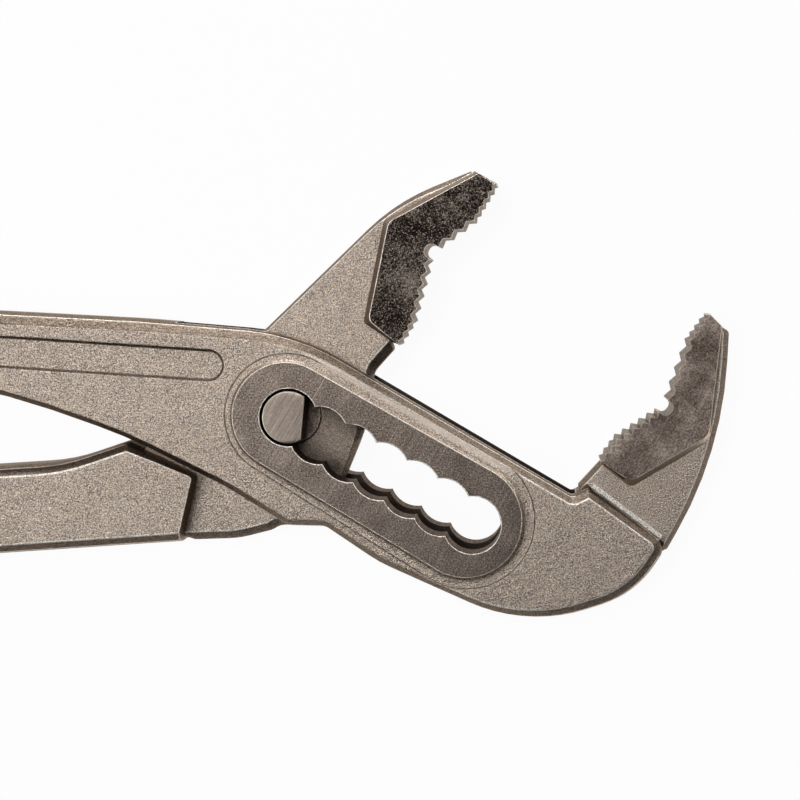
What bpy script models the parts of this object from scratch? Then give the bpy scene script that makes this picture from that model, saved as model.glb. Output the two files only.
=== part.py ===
"""Box-joint water pump pliers: two forged legs and the pin that joins them.

The tool lies flat on the X-Y plane, jaws towards +X and front face up (+Z). The origin is on the
pin's axis, in the plane of the rear boss. The pin sits in the first notch of the slot. Metres.
"""
import math

import bmesh
import bpy
from mathutils import Vector

# Thicknesses across the tool
BOX_THICKNESS = 0.0120
BOSS_HEIGHT = 0.0010
MORTISE_GAP = 0.0056
TONGUE_CLEARANCE = 0.0003
JAW_WEB_THICKNESS = 0.0060
JAW_PAD_THICKNESS = 0.0090

# Slot, pin and boss
SLOT_NOTCHES = 7
SLOT_PITCH = 0.00756
SLOT_TILT = math.radians(30.3)
SLOT_CHAMFER = 0.00025
PIN_RADIUS = 0.0056
PIN_CLEARANCE = 0.0005
PIN_FLAT_OFFSET = 0.0032
PIN_FLAT_TURN = math.radians(-5.0)
PIN_CORNER_RADIUS = 0.0006
PIN_CHAMFER = 0.00025
PIN_COLLAR_RADIUS = 0.0066
PIN_COLLAR_SINK = 0.0007
PIN_SEAT_CLEARANCE = 0.0002
PIN_SEAT_CHAMFER = 0.0007
BOSS_HANDLE_RIM = 0.00535
BOSS_JAW_RIM = 0.0060
BOSS_HANDLE_LEAD = 0.0007
BOSS_END_SHORTFALL = 0.0016
BOSS_COVE = 0.0014
BOSS_CHAMFER = 0.0002

# Forged sides: how far the faces draw in from the widest line, and over what depth
SIDE_DRAFT = 0.0020
SIDE_DRAFT_DEPTH = 0.0038
EDGE_BREAK = 0.0003
WEB_DRAFT_SHARE = 0.30

# Handles
HANDLE_LENGTH = 0.1550
SLOTTED_GRIP_WIDTH = 0.0152
INNER_GRIP_WIDTH = 0.0168
HANDLE_END_RADIUS = 0.0068
HANDLE_TAPER = 0.0015
HANDLE_TAPER_LENGTH = 0.0750
PANEL_LENGTH = 0.0600
PANEL_HALF_WIDTH = 0.00345
PANEL_DEPTH = 0.0007
PANEL_DRAFT = 0.0005
PANEL_TURN = math.radians(-3.75)
PANEL_END = (-0.0174, 0.0110)

# Shoulder of the inner leg, which stops against the slotted leg when the handles close
SHOULDER_GAP = 0.0004
SHOULDER_RELIEF = 0.0004
SHOULDER_RADIUS = 0.0010

# Jaw teeth
FINE_TOOTH_PITCH = 0.00145
FINE_TOOTH_DEPTH = 0.0006
COARSE_TOOTH_DEPTH = 0.0010
TOOTH_LEAN = 0.64
THROAT_DEPTH = 0.0060
THROAT_RADIUS = 0.0016
PAD_CHAMFER = 0.0002
PAD_COVE = 0.0014
ROOT_GROOVE_WIDTH = 0.0020

# Drawing
ARC_STEP = math.radians(9.0)
SMALLEST_FILLET = 0.0003
CUT_MARGIN = 0.0020

# Values that follow from the ones above
MID_HEIGHT = BOSS_HEIGHT + BOX_THICKNESS / 2
TONGUE_THICKNESS = MORTISE_GAP - 2 * TONGUE_CLEARANCE
TOTAL_THICKNESS = BOX_THICKNESS + 2 * BOSS_HEIGHT
LOBE_RADIUS = PIN_RADIUS + PIN_CLEARANCE
SLOT_TRAVEL = SLOT_PITCH * (SLOT_NOTCHES - 1)
SLOT_ALONG = Vector((math.cos(SLOT_TILT), -math.sin(SLOT_TILT)))
SLOT_ACROSS = Vector((math.sin(SLOT_TILT), math.cos(SLOT_TILT)))
LAST_NOTCH = SLOT_TRAVEL * SLOT_ALONG

# Lower edge of the slotted leg, where the shoulder of the inner leg meets it
STOP_EDGE_INNER = Vector((-0.0136, -0.0159))
STOP_EDGE_OUTER = Vector((-0.0360, -0.0046))

# Outline corners: x, y, fillet radius and share of the side draft on the edge that follows.
# The handle end of the slotted leg is placed from the pin, its head from the last notch.
SLOTTED_HANDLE_OUTER_Y = 0.0246
SLOTTED_HANDLE = [
    (-HANDLE_LENGTH, SLOTTED_HANDLE_OUTER_Y - 0.0008, HANDLE_END_RADIUS, 1.35),
    (-0.1050, SLOTTED_HANDLE_OUTER_Y, 0.200, 1.35),
    (-0.0640, 0.0226, 0.200, 1.35),
    (-0.0330, 0.02095, 0.150, 1.2),
    (0.0008, 0.0181, 0.050, 1.0),
]
SLOTTED_HEAD = [
    (0.0213, 0.0059, 0.0010, 1.0),
    (0.02475, 0.0076, 0.0, 0.8),
    (0.0423, -0.0051, 0.0035, 1.4),
    (0.0351, -0.0159, 0.0220, 1.4),
    (0.0118, -0.0238, 0.0360, 1.05),
]
SLOTTED_BELLY = [
    (0.0188, -0.0319, 0.030, 1.0),
    (0.0072, -0.0241, 0.003, 1.0),
    (-0.0008, -0.0239, 0.004, 1.0),
    (STOP_EDGE_INNER.x, STOP_EDGE_INNER.y, 0.060, 1.0),
    (STOP_EDGE_OUTER.x, STOP_EDGE_OUTER.y, 0.100, 0.8),
    (-0.0660, 0.0060, 0.120, 0.8),
    (-0.1050, SLOTTED_HANDLE_OUTER_Y - SLOTTED_GRIP_WIDTH, 0.200, 1.0),
    (-HANDLE_LENGTH, SLOTTED_HANDLE_OUTER_Y - SLOTTED_GRIP_WIDTH, HANDLE_END_RADIUS, 1.0),
]
# Jaw of the slotted leg, from the last notch
FIXED_JAW_WEB = [
    (0.0238, 0.0029, 0.0, 0.0),
    (0.0227, 0.0075, 0.0005, 0.4),
    (0.0277, 0.0129, 0.0, 0.0),
    (0.0308, 0.0144, 0.0, 0.0),
    (0.0443, 0.0211, 0.0, 0.0),
    (0.0478, 0.0334, 0.0, 0.0),
    (0.0518, 0.0434, 0.0, 0.5),
    (0.0557, 0.0410, 0.0012, 0.8),
    (0.0542, 0.0145, 0.085, 0.8),
    (0.0422, -0.0064, 0.0, 0.0),
    (0.0373, -0.0071, 0.0, 0.0),
    (0.0300, -0.0050, 0.0, 0.0),
]
FIXED_JAW_PAD = [
    (0.0536, 0.0422, 0.0006, 0.3),
    (0.0508, 0.0186, 0.0040, 1.0),
    (0.0340, 0.0087, 0.0030, 1.0),
    (0.0287, 0.0123, 0.0, 0.0),
]
FIXED_JAW_FACE_START = Vector((0.0274, 0.0132))
FIXED_JAW_FACE_TURN = math.radians(53.6)
FIXED_JAW_FACE_LENGTH = 0.0395
FIXED_JAW_THROAT = (0.0059, 0.0176, 0.0323)
FIXED_JAW_COARSE_TEETH = (5, 5)
ROOT_GROOVE_ENDS = (Vector((0.02485, 0.0066)), Vector((0.04065, -0.0053)))

# Inner leg, from the pin
INNER_HANDLE_LOWER_Y = -0.0306
INNER_HANDLE_TOP = [
    (-HANDLE_LENGTH, INNER_HANDLE_LOWER_Y + INNER_GRIP_WIDTH + 0.0024, HANDLE_END_RADIUS, 1.0),
    (-0.1080, INNER_HANDLE_LOWER_Y + INNER_GRIP_WIDTH, 0.150, 1.0),
    (-0.0490, -0.0101, 0.040, 1.0),
]
INNER_SHOULDER_START = -0.0358
INNER_SHOULDER_END = -0.0206
INNER_HANDLE_BOTTOM = [
    (-0.0239, -0.0273, 0.0, 1.2),
    (-0.0700, -0.0304, 0.150, 1.2),
    (-0.1100, INNER_HANDLE_LOWER_Y, 0.150, 1.2),
    (-HANDLE_LENGTH, INNER_HANDLE_LOWER_Y + 0.0036, HANDLE_END_RADIUS, 1.0),
]
TONGUE = [
    (-0.0335, -0.0078, 0.0, 0.25),
    (0.0222, 0.0464, 0.045, 0.6),
    (0.0386, 0.0531, 0.0006, 0.3),
    (0.0411, 0.0508, 0.0, 0.0),
    (0.0300, 0.0402, 0.0, 0.0),
    (0.0256, 0.0360, 0.0, 0.0),
    (0.0237, 0.0225, 0.0, 0.0),
    (0.0206, 0.0160, 0.0, 0.0),
    (0.0219, 0.0143, 0.0006, 1.0),
    (0.0174, 0.0093, 0.0040, 1.5),
    (0.0156, -0.0029, 0.030, 1.7),
    (0.0068, -0.0243, 0.0042, 1.0),
    (-0.0030, -0.0241, 0.004, 1.0),
    (-0.0048, -0.0252, 0.004, 1.0),
    (-0.0120, -0.0270, 0.020, 1.0),
    (-0.0215, -0.0273, 0.0, 0.0),
    (-0.0290, -0.0240, 0.0, 0.0),
]
MOVING_JAW_PAD = [
    (0.0220, 0.0163, 0.0, 1.0),
    (0.0166, 0.0206, 0.0022, 1.0),
    (0.0209, 0.0418, 0.0030, 0.8),
    (0.0404, 0.0523, 0.0004, 0.0),
]
MOVING_JAW_FACE_START = Vector((0.0233, 0.0152))
MOVING_JAW_FACE_TURN = math.radians(58.8)
MOVING_JAW_FACE_LENGTH = 0.0407
MOVING_JAW_THROAT = (0.0059, 0.0209, 0.0313)
MOVING_JAW_COARSE_TEETH = (5, 4)

# Window through the box for the tongue: its ends, set out from the pin and from the last notch
MORTISE_HANDLE_END = (Vector((-0.0220, 0.0300)), Vector((-0.0362, -0.0150)))
MORTISE_JAW_END = (Vector((0.0186, 0.0149)), Vector((0.0352, -0.0271)))
MORTISE_TOP = Vector((0.0300, 0.0300))
MORTISE_BOTTOM = Vector((0.0, -0.0500))


def clear_scene():
    for old in list(bpy.data.objects):
        bpy.data.objects.remove(old, do_unlink=True)


def make_collection(name):
    collection = bpy.data.collections.new(name)
    bpy.context.scene.collection.children.link(collection)
    return collection


def steel(name, colour, roughness):
    material = bpy.data.materials.new(name)
    material.use_nodes = True
    shader = material.node_tree.nodes["Principled BSDF"]
    shader.inputs["Base Color"].default_value = (*colour, 1.0)
    shader.inputs["Metallic"].default_value = 1.0
    shader.inputs["Roughness"].default_value = roughness
    return material


def arc_steps(turn):
    return max(2, math.ceil(abs(turn) / ARC_STEP - 0.001))


def arc(centre, radius, start, end, steps=None):
    """Points on an arc from one angle to another, ends included."""
    steps = steps or arc_steps(end - start)
    angles = [start + (end - start) * step / steps for step in range(steps + 1)]
    return [centre + radius * Vector((math.cos(a), math.sin(a))) for a in angles]


def edge_turn(corners, index):
    """Directions of the edges that meet at a corner, and the angle between them."""
    corner = Vector(corners[index][:2])
    arriving = (corner - Vector(corners[index - 1][:2])).normalized()
    leaving = (Vector(corners[(index + 1) % len(corners)][:2]) - corner).normalized()
    turn = math.atan2(arriving.x * leaving.y - arriving.y * leaving.x, arriving.dot(leaving))
    return arriving, leaving, turn


def drawn_in(corners, distance):
    """Clockwise corners with every edge moved inwards by its draft times the distance."""
    moved = []
    for index, (x, y, radius, draft) in enumerate(corners):
        arriving, leaving, turn = edge_turn(corners, index)
        normal_a = Vector((arriving.y, -arriving.x))
        normal_b = Vector((leaving.y, -leaving.x))
        shift_a = distance * corners[index - 1][3]
        shift_b = distance * draft
        cross = normal_a.x * normal_b.y - normal_a.y * normal_b.x
        if abs(cross) < 0.2:
            shift = (normal_a + normal_b).normalized() * (shift_a + shift_b) / 2
        else:
            shift = Vector((
                (shift_a * normal_b.y - shift_b * normal_a.y) / cross,
                (normal_a.x * shift_b - normal_b.x * shift_a) / cross,
            ))
        if radius > 0.0:
            radius = max(SMALLEST_FILLET, radius + math.copysign((shift_a + shift_b) / 2, turn))
        moved.append((x + shift.x, y + shift.y, radius, draft))
    return moved


def fillet_steps(corners):
    return [arc_steps(edge_turn(corners, index)[2]) for index in range(len(corners))]


def rounded(corners, counts=None):
    """Outline points of a closed polygon with filleted corners."""
    counts = counts or fillet_steps(corners)
    points = []
    for index, (x, y, radius, _) in enumerate(corners):
        arriving, _, turn = edge_turn(corners, index)
        if radius == 0.0:
            points.append(Vector((x, y)))
            continue
        side = math.copysign(1.0, turn)
        begin = Vector((x, y)) - radius * math.tan(abs(turn) / 2) * arriving
        centre = begin + side * radius * Vector((-arriving.y, arriving.x))
        first = math.atan2(-side * arriving.x, side * arriving.y)
        points += arc(centre, radius, first, first + turn, counts[index])
    return points


def clockwise(points):
    area = sum(a.x * b.y - b.x * a.y for a, b in zip(points, points[1:] + points[:1]))
    return points if area < 0.0 else points[::-1]


def stacked(name, corners, levels, collection):
    """Closed solid from one outline drawn in by a distance at each height; levels go upwards."""
    model = bmesh.new()
    rings = []
    counts = fillet_steps(corners)
    for height, distance in levels:
        outline = rounded(drawn_in(corners, distance), counts)
        rings.append([model.verts.new((p.x, p.y, height)) for p in outline])
    model.faces.new(rings[0])
    model.faces.new(rings[-1][::-1])
    for lower, upper in zip(rings, rings[1:]):
        for index in range(len(lower)):
            follow = (index + 1) % len(lower)
            model.faces.new((lower[follow], lower[index], upper[index], upper[follow]))
    bmesh.ops.recalc_face_normals(model, faces=model.faces)
    return finish_mesh(name, model, collection)


def finish_mesh(name, model, collection):
    mesh = bpy.data.meshes.new(name)
    model.to_mesh(mesh)
    model.free()
    part = bpy.data.objects.new(name, mesh)
    collection.objects.link(part)
    return part


def even(points):
    """Corners without fillets from outline points, with the same draft on every edge."""
    return [(p.x, p.y, 0.0, 1.0) for p in clockwise(points)]


def both_faces(levels):
    """Levels above the middle plane, and the same below it, in rising order."""
    below = [(MID_HEIGHT - height, distance) for height, distance in reversed(levels)]
    above = [(MID_HEIGHT + height, distance) for height, distance in levels]
    return below + above


def combine(part, other, operation):
    """Add a Boolean of another solid to a part and keep that solid as a hidden guide."""
    other.hide_render = True
    other.display_type = "WIRE"
    step = part.modifiers.new(other.name, "BOOLEAN")
    step.operation = operation
    step.solver = "EXACT"
    step.object = other


def from_last_notch(corners):
    """Corners that are set out from the last notch, moved into the tool's frame."""
    return [(x + LAST_NOTCH.x, y + LAST_NOTCH.y, *rest) for x, y, *rest in corners]


def forged_levels(thickness):
    """Side profile of a forging: straight in the middle, drafted, with broken face edges."""
    half = thickness / 2
    return both_faces([
        (half - SIDE_DRAFT_DEPTH, 0.0),
        (half - EDGE_BREAK, SIDE_DRAFT - EDGE_BREAK),
        (half, SIDE_DRAFT),
    ])


def web_levels(thickness):
    """Side profile of a thin web: a steep middle and a broad slope to each face."""
    half = thickness / 2
    return both_faces([
        (half * WEB_DRAFT_SHARE, 0.0),
        (half * 2 * WEB_DRAFT_SHARE, SIDE_DRAFT * 0.4),
        (half, SIDE_DRAFT),
    ])


def pad_levels(web_thickness):
    """Side profile of a jaw pad: straight through the teeth, coved where it meets the web."""
    web = web_thickness / 2
    half = JAW_PAD_THICKNESS / 2
    rise = half - web
    return both_faces([
        (web * 0.5, -PAD_COVE),
        (web, -PAD_COVE),
        (web + rise * 0.15, -PAD_COVE * 0.55),
        (web + rise * 0.45, -PAD_COVE * 0.15),
        (half - PAD_CHAMFER, 0.0),
        (half, PAD_CHAMFER),
    ])


def tooth_run(start, end, count, depth, inward, lean):
    """Tips from start to end with a valley after each tip but the last."""
    points = []
    step = (end - start) / (count - 1)
    for index in range(count):
        tip = start + step * index
        points.append(tip)
        if index < count - 1:
            points.append(tip + step * lean + inward * depth)
    return points


def jaw_face(start, turn, length, throat, coarse, into):
    """Toothed edge of a jaw from its inner end to its tip: fine, coarse, throat, coarse, fine."""
    along = Vector((math.cos(turn), math.sin(turn)))
    inward = into * Vector((along.y, -along.x))
    near, bottom, far = throat
    fine_near = max(2, round(near / FINE_TOOTH_PITCH))
    fine_far = max(2, round((length - far) / FINE_TOOTH_PITCH))

    def place(distance, depth):
        return start + along * distance + inward * depth

    slope_near = (THROAT_DEPTH - THROAT_RADIUS) / (bottom - near)
    slope_far = (THROAT_DEPTH - THROAT_RADIUS) / (far - bottom)
    near_stop = bottom - THROAT_RADIUS
    far_stop = bottom + THROAT_RADIUS
    near_tip = place(near_stop, slope_near * (near_stop - near))
    far_tip = place(far_stop, slope_far * (far - far_stop))
    points = tooth_run(place(0.0, 0.0), place(near, 0.0), fine_near, FINE_TOOTH_DEPTH, inward,
                       1.0 - TOOTH_LEAN)
    points.append(points[-1] + (near_tip - points[-1]) * 0.08 + inward * COARSE_TOOTH_DEPTH)
    coarse_start = place(near, 0.0) + (near_tip - place(near, 0.0)) * 0.22
    points += tooth_run(coarse_start, near_tip, coarse[0], COARSE_TOOTH_DEPTH, inward, 1.0 - TOOTH_LEAN)
    points.append(place(bottom - THROAT_RADIUS * 0.7, THROAT_DEPTH - THROAT_RADIUS * 0.3))
    points.append(place(bottom, THROAT_DEPTH))
    points.append(place(bottom + THROAT_RADIUS * 0.7, THROAT_DEPTH - THROAT_RADIUS * 0.3))
    points += tooth_run(far_tip, place(far, 0.0), coarse[1], COARSE_TOOTH_DEPTH, inward, TOOTH_LEAN)
    fine = tooth_run(place(far, 0.0), place(length, 0.0), fine_far, FINE_TOOTH_DEPTH, inward, TOOTH_LEAN)
    points += fine[1:]
    return points


def slot_outline():
    """Row of overlapping circles, one for each notch."""
    cusp = math.acos(SLOT_PITCH / 2 / LOBE_RADIUS)
    tilt = -SLOT_TILT
    points = []
    for notch in range(SLOT_NOTCHES):
        centre = SLOT_ALONG * SLOT_PITCH * notch
        start = math.pi if notch == 0 else math.pi - cusp
        end = 0.0 if notch == SLOT_NOTCHES - 1 else cusp
        points += arc(centre, LOBE_RADIUS, start + tilt, end + tilt)[:-1]
    for notch in reversed(range(SLOT_NOTCHES)):
        centre = SLOT_ALONG * SLOT_PITCH * notch
        start = 0.0 if notch == SLOT_NOTCHES - 1 else -cusp
        end = -math.pi if notch == 0 else cusp - math.pi
        points += arc(centre, LOBE_RADIUS, start + tilt, end + tilt)[:-1]
    return points


def stadium(first, second, first_radius, second_radius):
    """Outline with round ends about two centres."""
    heading = math.atan2(second.y - first.y, second.x - first.x)
    quarter = math.pi / 2
    points = arc(first, first_radius, heading + 3 * quarter, heading + quarter)
    points += arc(second, second_radius, heading + quarter, heading - quarter)
    return points


def boss_solid(front, cutters):
    """Raised ground pad round the slot, with a coved foot, on one face of the box."""
    near = -SLOT_ALONG * BOSS_HANDLE_LEAD
    far = LAST_NOTCH - SLOT_ALONG * BOSS_END_SHORTFALL
    outline = even(stadium(near, far, LOBE_RADIUS + BOSS_HANDLE_RIM, LOBE_RADIUS + BOSS_JAW_RIM))
    face = BOX_THICKNESS / 2
    levels = [
        (face - BOSS_HEIGHT, -BOSS_COVE),
        (face + BOSS_HEIGHT * 0.05, -BOSS_COVE),
        (face + BOSS_HEIGHT * 0.2, -BOSS_COVE * 0.5),
        (face + BOSS_HEIGHT * 0.5, -BOSS_COVE * 0.15),
        (face + BOSS_HEIGHT - BOSS_CHAMFER, 0.0),
        (face + BOSS_HEIGHT, BOSS_CHAMFER),
    ]
    side = 1.0 if front else -1.0
    placed = [(MID_HEIGHT + side * height, distance) for height, distance in levels]
    name = "front_boss" if front else "rear_boss"
    return stacked(name, outline, sorted(placed), cutters)


def panel_cutter(front, cutters):
    """Sunken panel along the handle of the slotted leg."""
    end = Vector(PANEL_END)
    along = Vector((math.cos(PANEL_TURN), math.sin(PANEL_TURN)))
    start = end - (PANEL_LENGTH - 2 * PANEL_HALF_WIDTH) * along
    outline = even(stadium(start, end, PANEL_HALF_WIDTH, PANEL_HALF_WIDTH))
    face = BOX_THICKNESS / 2
    slope = PANEL_DRAFT / PANEL_DEPTH
    levels = [
        (face - PANEL_DEPTH, PANEL_DRAFT),
        (face + CUT_MARGIN, -slope * CUT_MARGIN),
    ]
    side = 1.0 if front else -1.0
    placed = [(MID_HEIGHT + side * height, distance) for height, distance in levels]
    name = "front_panel_cut" if front else "rear_panel_cut"
    return stacked(name, outline, sorted(placed), cutters)


def taper_cutter(leg, front, cutters):
    """Wedge that thins a handle towards its end on one face."""
    reach = 2 * HANDLE_LENGTH
    slope = HANDLE_TAPER / HANDLE_TAPER_LENGTH
    side = 1.0 if front else -1.0
    model = bmesh.new()
    bmesh.ops.create_cube(model, size=1.0)
    for corner in model.verts:
        back = HANDLE_LENGTH if corner.co.x < 0.0 else 0.0
        corner.co.x = HANDLE_TAPER_LENGTH - HANDLE_LENGTH - back
        corner.co.y *= reach
        inner = corner.co.z * side < 0.0
        rise = -slope * back if inner else BOX_THICKNESS
        corner.co.z = MID_HEIGHT + side * (BOX_THICKNESS / 2 + rise)
    bmesh.ops.recalc_face_normals(model, faces=model.faces)
    return finish_mesh(leg + ("_front_taper_cut" if front else "_rear_taper_cut"), model, cutters)


def root_groove(front, cutters):
    """V groove across the root of the fixed jaw, from a bar turned on its edge."""
    first, second = (LAST_NOTCH + end for end in ROOT_GROOVE_ENDS)
    middle = (first + second) / 2
    run = second - first
    side = 1.0 if front else -1.0
    model = bmesh.new()
    bmesh.ops.create_cube(model, size=1.0)
    name = "front_groove_cut" if front else "rear_groove_cut"
    groove = finish_mesh(name, model, cutters)
    bar_side = ROOT_GROOVE_WIDTH / math.sqrt(2)
    groove.scale = (run.length + 2 * CUT_MARGIN, bar_side, bar_side)
    groove.rotation_euler = (math.pi / 4, 0.0, math.atan2(run.y, run.x))
    groove.location = (middle.x, middle.y, MID_HEIGHT + side * JAW_WEB_THICKNESS / 2)
    return groove


def mortise_cutter(cutters):
    """Flat window through the box, open above and below, that the tongue runs in."""
    points = [
        MORTISE_HANDLE_END[0],
        MORTISE_TOP,
        LAST_NOTCH + MORTISE_JAW_END[0],
        LAST_NOTCH + MORTISE_JAW_END[1],
        MORTISE_BOTTOM,
        MORTISE_HANDLE_END[1],
    ]
    levels = both_faces([(MORTISE_GAP / 2, 0.0)])
    return stacked("mortise_cut", even(points), levels, cutters)


def slot_cutter(cutters):
    """Notched slot through both plates, with broken edges."""
    flare = SLOT_CHAMFER + CUT_MARGIN
    levels = [
        (-CUT_MARGIN, -flare),
        (SLOT_CHAMFER, 0.0),
        (TOTAL_THICKNESS - SLOT_CHAMFER, 0.0),
        (TOTAL_THICKNESS + CUT_MARGIN, -flare),
    ]
    return stacked("slot_cut", even(slot_outline()), levels, cutters)


def pad_corners(face, back):
    """Jaw pad corners, clockwise, from its toothed edge and the corners of its back."""
    return [(p.x, p.y, 0.0, 0.0) for p in face] + back


def make_slotted_leg(parts, cutters):
    head = from_last_notch(SLOTTED_HEAD)
    body = stacked("slotted_leg", SLOTTED_HANDLE + head + SLOTTED_BELLY,
                   forged_levels(BOX_THICKNESS), parts)
    web = stacked("fixed_jaw_web", from_last_notch(FIXED_JAW_WEB),
                  web_levels(JAW_WEB_THICKNESS), cutters)
    face = jaw_face(LAST_NOTCH + FIXED_JAW_FACE_START, FIXED_JAW_FACE_TURN, FIXED_JAW_FACE_LENGTH,
                    FIXED_JAW_THROAT, FIXED_JAW_COARSE_TEETH, 1.0)
    pad = stacked("fixed_jaw_pad", pad_corners(face, from_last_notch(FIXED_JAW_PAD)),
                  pad_levels(JAW_WEB_THICKNESS), cutters)
    combine(body, web, "UNION")
    combine(body, pad, "UNION")
    for front in (True, False):
        combine(body, boss_solid(front, cutters), "UNION")
    combine(body, mortise_cutter(cutters), "DIFFERENCE")
    combine(body, slot_cutter(cutters), "DIFFERENCE")
    for front in (True, False):
        combine(body, panel_cutter(front, cutters), "DIFFERENCE")
        combine(body, root_groove(front, cutters), "DIFFERENCE")
        combine(body, taper_cutter("slotted_leg", front, cutters), "DIFFERENCE")
    return body


def shoulder_corners():
    """Corners of the inner leg's shoulder, set off from the slotted leg's lower edge."""
    edge = (STOP_EDGE_INNER - STOP_EDGE_OUTER).normalized()
    away = Vector((edge.y, -edge.x))
    middle = (INNER_SHOULDER_START + INNER_SHOULDER_END) / 2
    stations = (
        (INNER_SHOULDER_START, SHOULDER_GAP + SHOULDER_RELIEF, 2 * SHOULDER_RADIUS, 0.6),
        (middle, SHOULDER_GAP + SHOULDER_RELIEF / 2, 0.0, 0.1),
        (INNER_SHOULDER_END, SHOULDER_GAP, SHOULDER_RADIUS, 0.1),
    )
    corners = []
    for x, gap, radius, draft in stations:
        point = STOP_EDGE_INNER + away * gap
        point += edge * (x - point.x) / edge.x
        corners.append((point.x, point.y, radius, draft))
    return corners


def make_inner_leg(parts, cutters):
    corners = INNER_HANDLE_TOP + shoulder_corners() + INNER_HANDLE_BOTTOM
    body = stacked("inner_leg", corners, forged_levels(BOX_THICKNESS), parts)
    tongue = stacked("tongue", TONGUE, web_levels(TONGUE_THICKNESS), cutters)
    face = jaw_face(MOVING_JAW_FACE_START, MOVING_JAW_FACE_TURN, MOVING_JAW_FACE_LENGTH,
                    MOVING_JAW_THROAT, MOVING_JAW_COARSE_TEETH, -1.0)
    pad = stacked("moving_jaw_pad", pad_corners(face[::-1], MOVING_JAW_PAD),
                  pad_levels(TONGUE_THICKNESS), cutters)
    seat = even(arc(Vector((0.0, 0.0)), PIN_COLLAR_RADIUS + PIN_SEAT_CLEARANCE, 2 * math.pi, 0.0)[:-1])
    half = TONGUE_THICKNESS / 2
    flare = PIN_SEAT_CHAMFER + CUT_MARGIN
    hole = stacked("pin_seat_cut", seat, both_faces([
        (half - PIN_SEAT_CHAMFER, 0.0),
        (half + CUT_MARGIN, -flare),
    ]), cutters)
    combine(body, tongue, "UNION")
    combine(body, pad, "UNION")
    combine(body, hole, "DIFFERENCE")
    for front in (True, False):
        combine(body, taper_cutter("inner_leg", front, cutters), "DIFFERENCE")
    return body


def make_pivot_pin(parts, cutters):
    """Round pin with a flat on each end and a wider collar seated in the tongue."""
    flat_angle = math.acos(PIN_FLAT_OFFSET / PIN_RADIUS)
    round_part = arc(Vector((0.0, 0.0)), PIN_RADIUS, flat_angle + PIN_FLAT_TURN,
                     2 * math.pi - flat_angle + PIN_FLAT_TURN)
    corners = [(p.x, p.y, 0.0, 1.0) for p in round_part]
    corners[0] = (*corners[0][:2], PIN_CORNER_RADIUS, 1.0)
    corners[-1] = (*corners[-1][:2], PIN_CORNER_RADIUS, 1.0)
    pin = stacked("pivot_pin", even(rounded(corners[::-1])), [
        (0.0, PIN_CHAMFER),
        (PIN_CHAMFER, 0.0),
        (TOTAL_THICKNESS - PIN_CHAMFER, 0.0),
        (TOTAL_THICKNESS, PIN_CHAMFER),
    ], parts)
    ring = even(arc(Vector((0.0, 0.0)), PIN_COLLAR_RADIUS, 2 * math.pi, 0.0)[:-1])
    half = TONGUE_THICKNESS / 2 - PIN_COLLAR_SINK
    levels = both_faces([(half - PIN_CHAMFER, 0.0), (half, PIN_CHAMFER)])
    collar = stacked("pin_collar", ring, levels, cutters)
    combine(pin, collar, "UNION")
    return pin


def main():
    clear_scene()
    parts = make_collection("water_pump_pliers")
    cutters = make_collection("cutters_and_guides")
    finishes = (
        (make_slotted_leg, steel("satin_nickel_slotted_leg", (0.56, 0.52, 0.47), 0.42)),
        (make_inner_leg, steel("satin_nickel_inner_leg", (0.56, 0.52, 0.47), 0.42)),
        (make_pivot_pin, steel("ground_steel_pin", (0.50, 0.46, 0.42), 0.34)),
    )
    for make, material in finishes:
        part = make(parts, cutters)
        part.data.materials.append(material)


main()
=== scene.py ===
"""Looks of the water pump pliers: finely rounded forgings, ground faces and cut teeth.

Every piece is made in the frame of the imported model, in metres, and replaces the plain solid of
the same part. The tool lies flat, jaws towards +X, front face up.
"""
import math

import bmesh
import bpy
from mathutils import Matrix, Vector


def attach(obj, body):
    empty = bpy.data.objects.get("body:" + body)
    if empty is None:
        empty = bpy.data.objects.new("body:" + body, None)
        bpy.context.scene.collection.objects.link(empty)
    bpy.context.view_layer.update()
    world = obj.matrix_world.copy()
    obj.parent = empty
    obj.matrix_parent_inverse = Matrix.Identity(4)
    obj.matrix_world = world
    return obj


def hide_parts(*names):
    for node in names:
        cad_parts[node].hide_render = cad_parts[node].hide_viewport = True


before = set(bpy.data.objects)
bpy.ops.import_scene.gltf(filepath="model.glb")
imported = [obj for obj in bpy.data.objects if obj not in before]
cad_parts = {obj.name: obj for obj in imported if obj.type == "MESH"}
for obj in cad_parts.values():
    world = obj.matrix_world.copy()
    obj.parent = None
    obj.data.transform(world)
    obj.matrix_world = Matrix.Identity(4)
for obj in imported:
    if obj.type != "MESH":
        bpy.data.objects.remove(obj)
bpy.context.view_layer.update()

# Thicknesses across the tool
BOX_THICKNESS = 0.0120
BOSS_HEIGHT = 0.0010
MORTISE_GAP = 0.0056
TONGUE_THICKNESS = 0.0050
JAW_WEB_THICKNESS = 0.0060
JAW_PAD_THICKNESS = 0.0090
TOTAL_THICKNESS = BOX_THICKNESS + 2 * BOSS_HEIGHT
MID_HEIGHT = TOTAL_THICKNESS / 2

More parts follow.
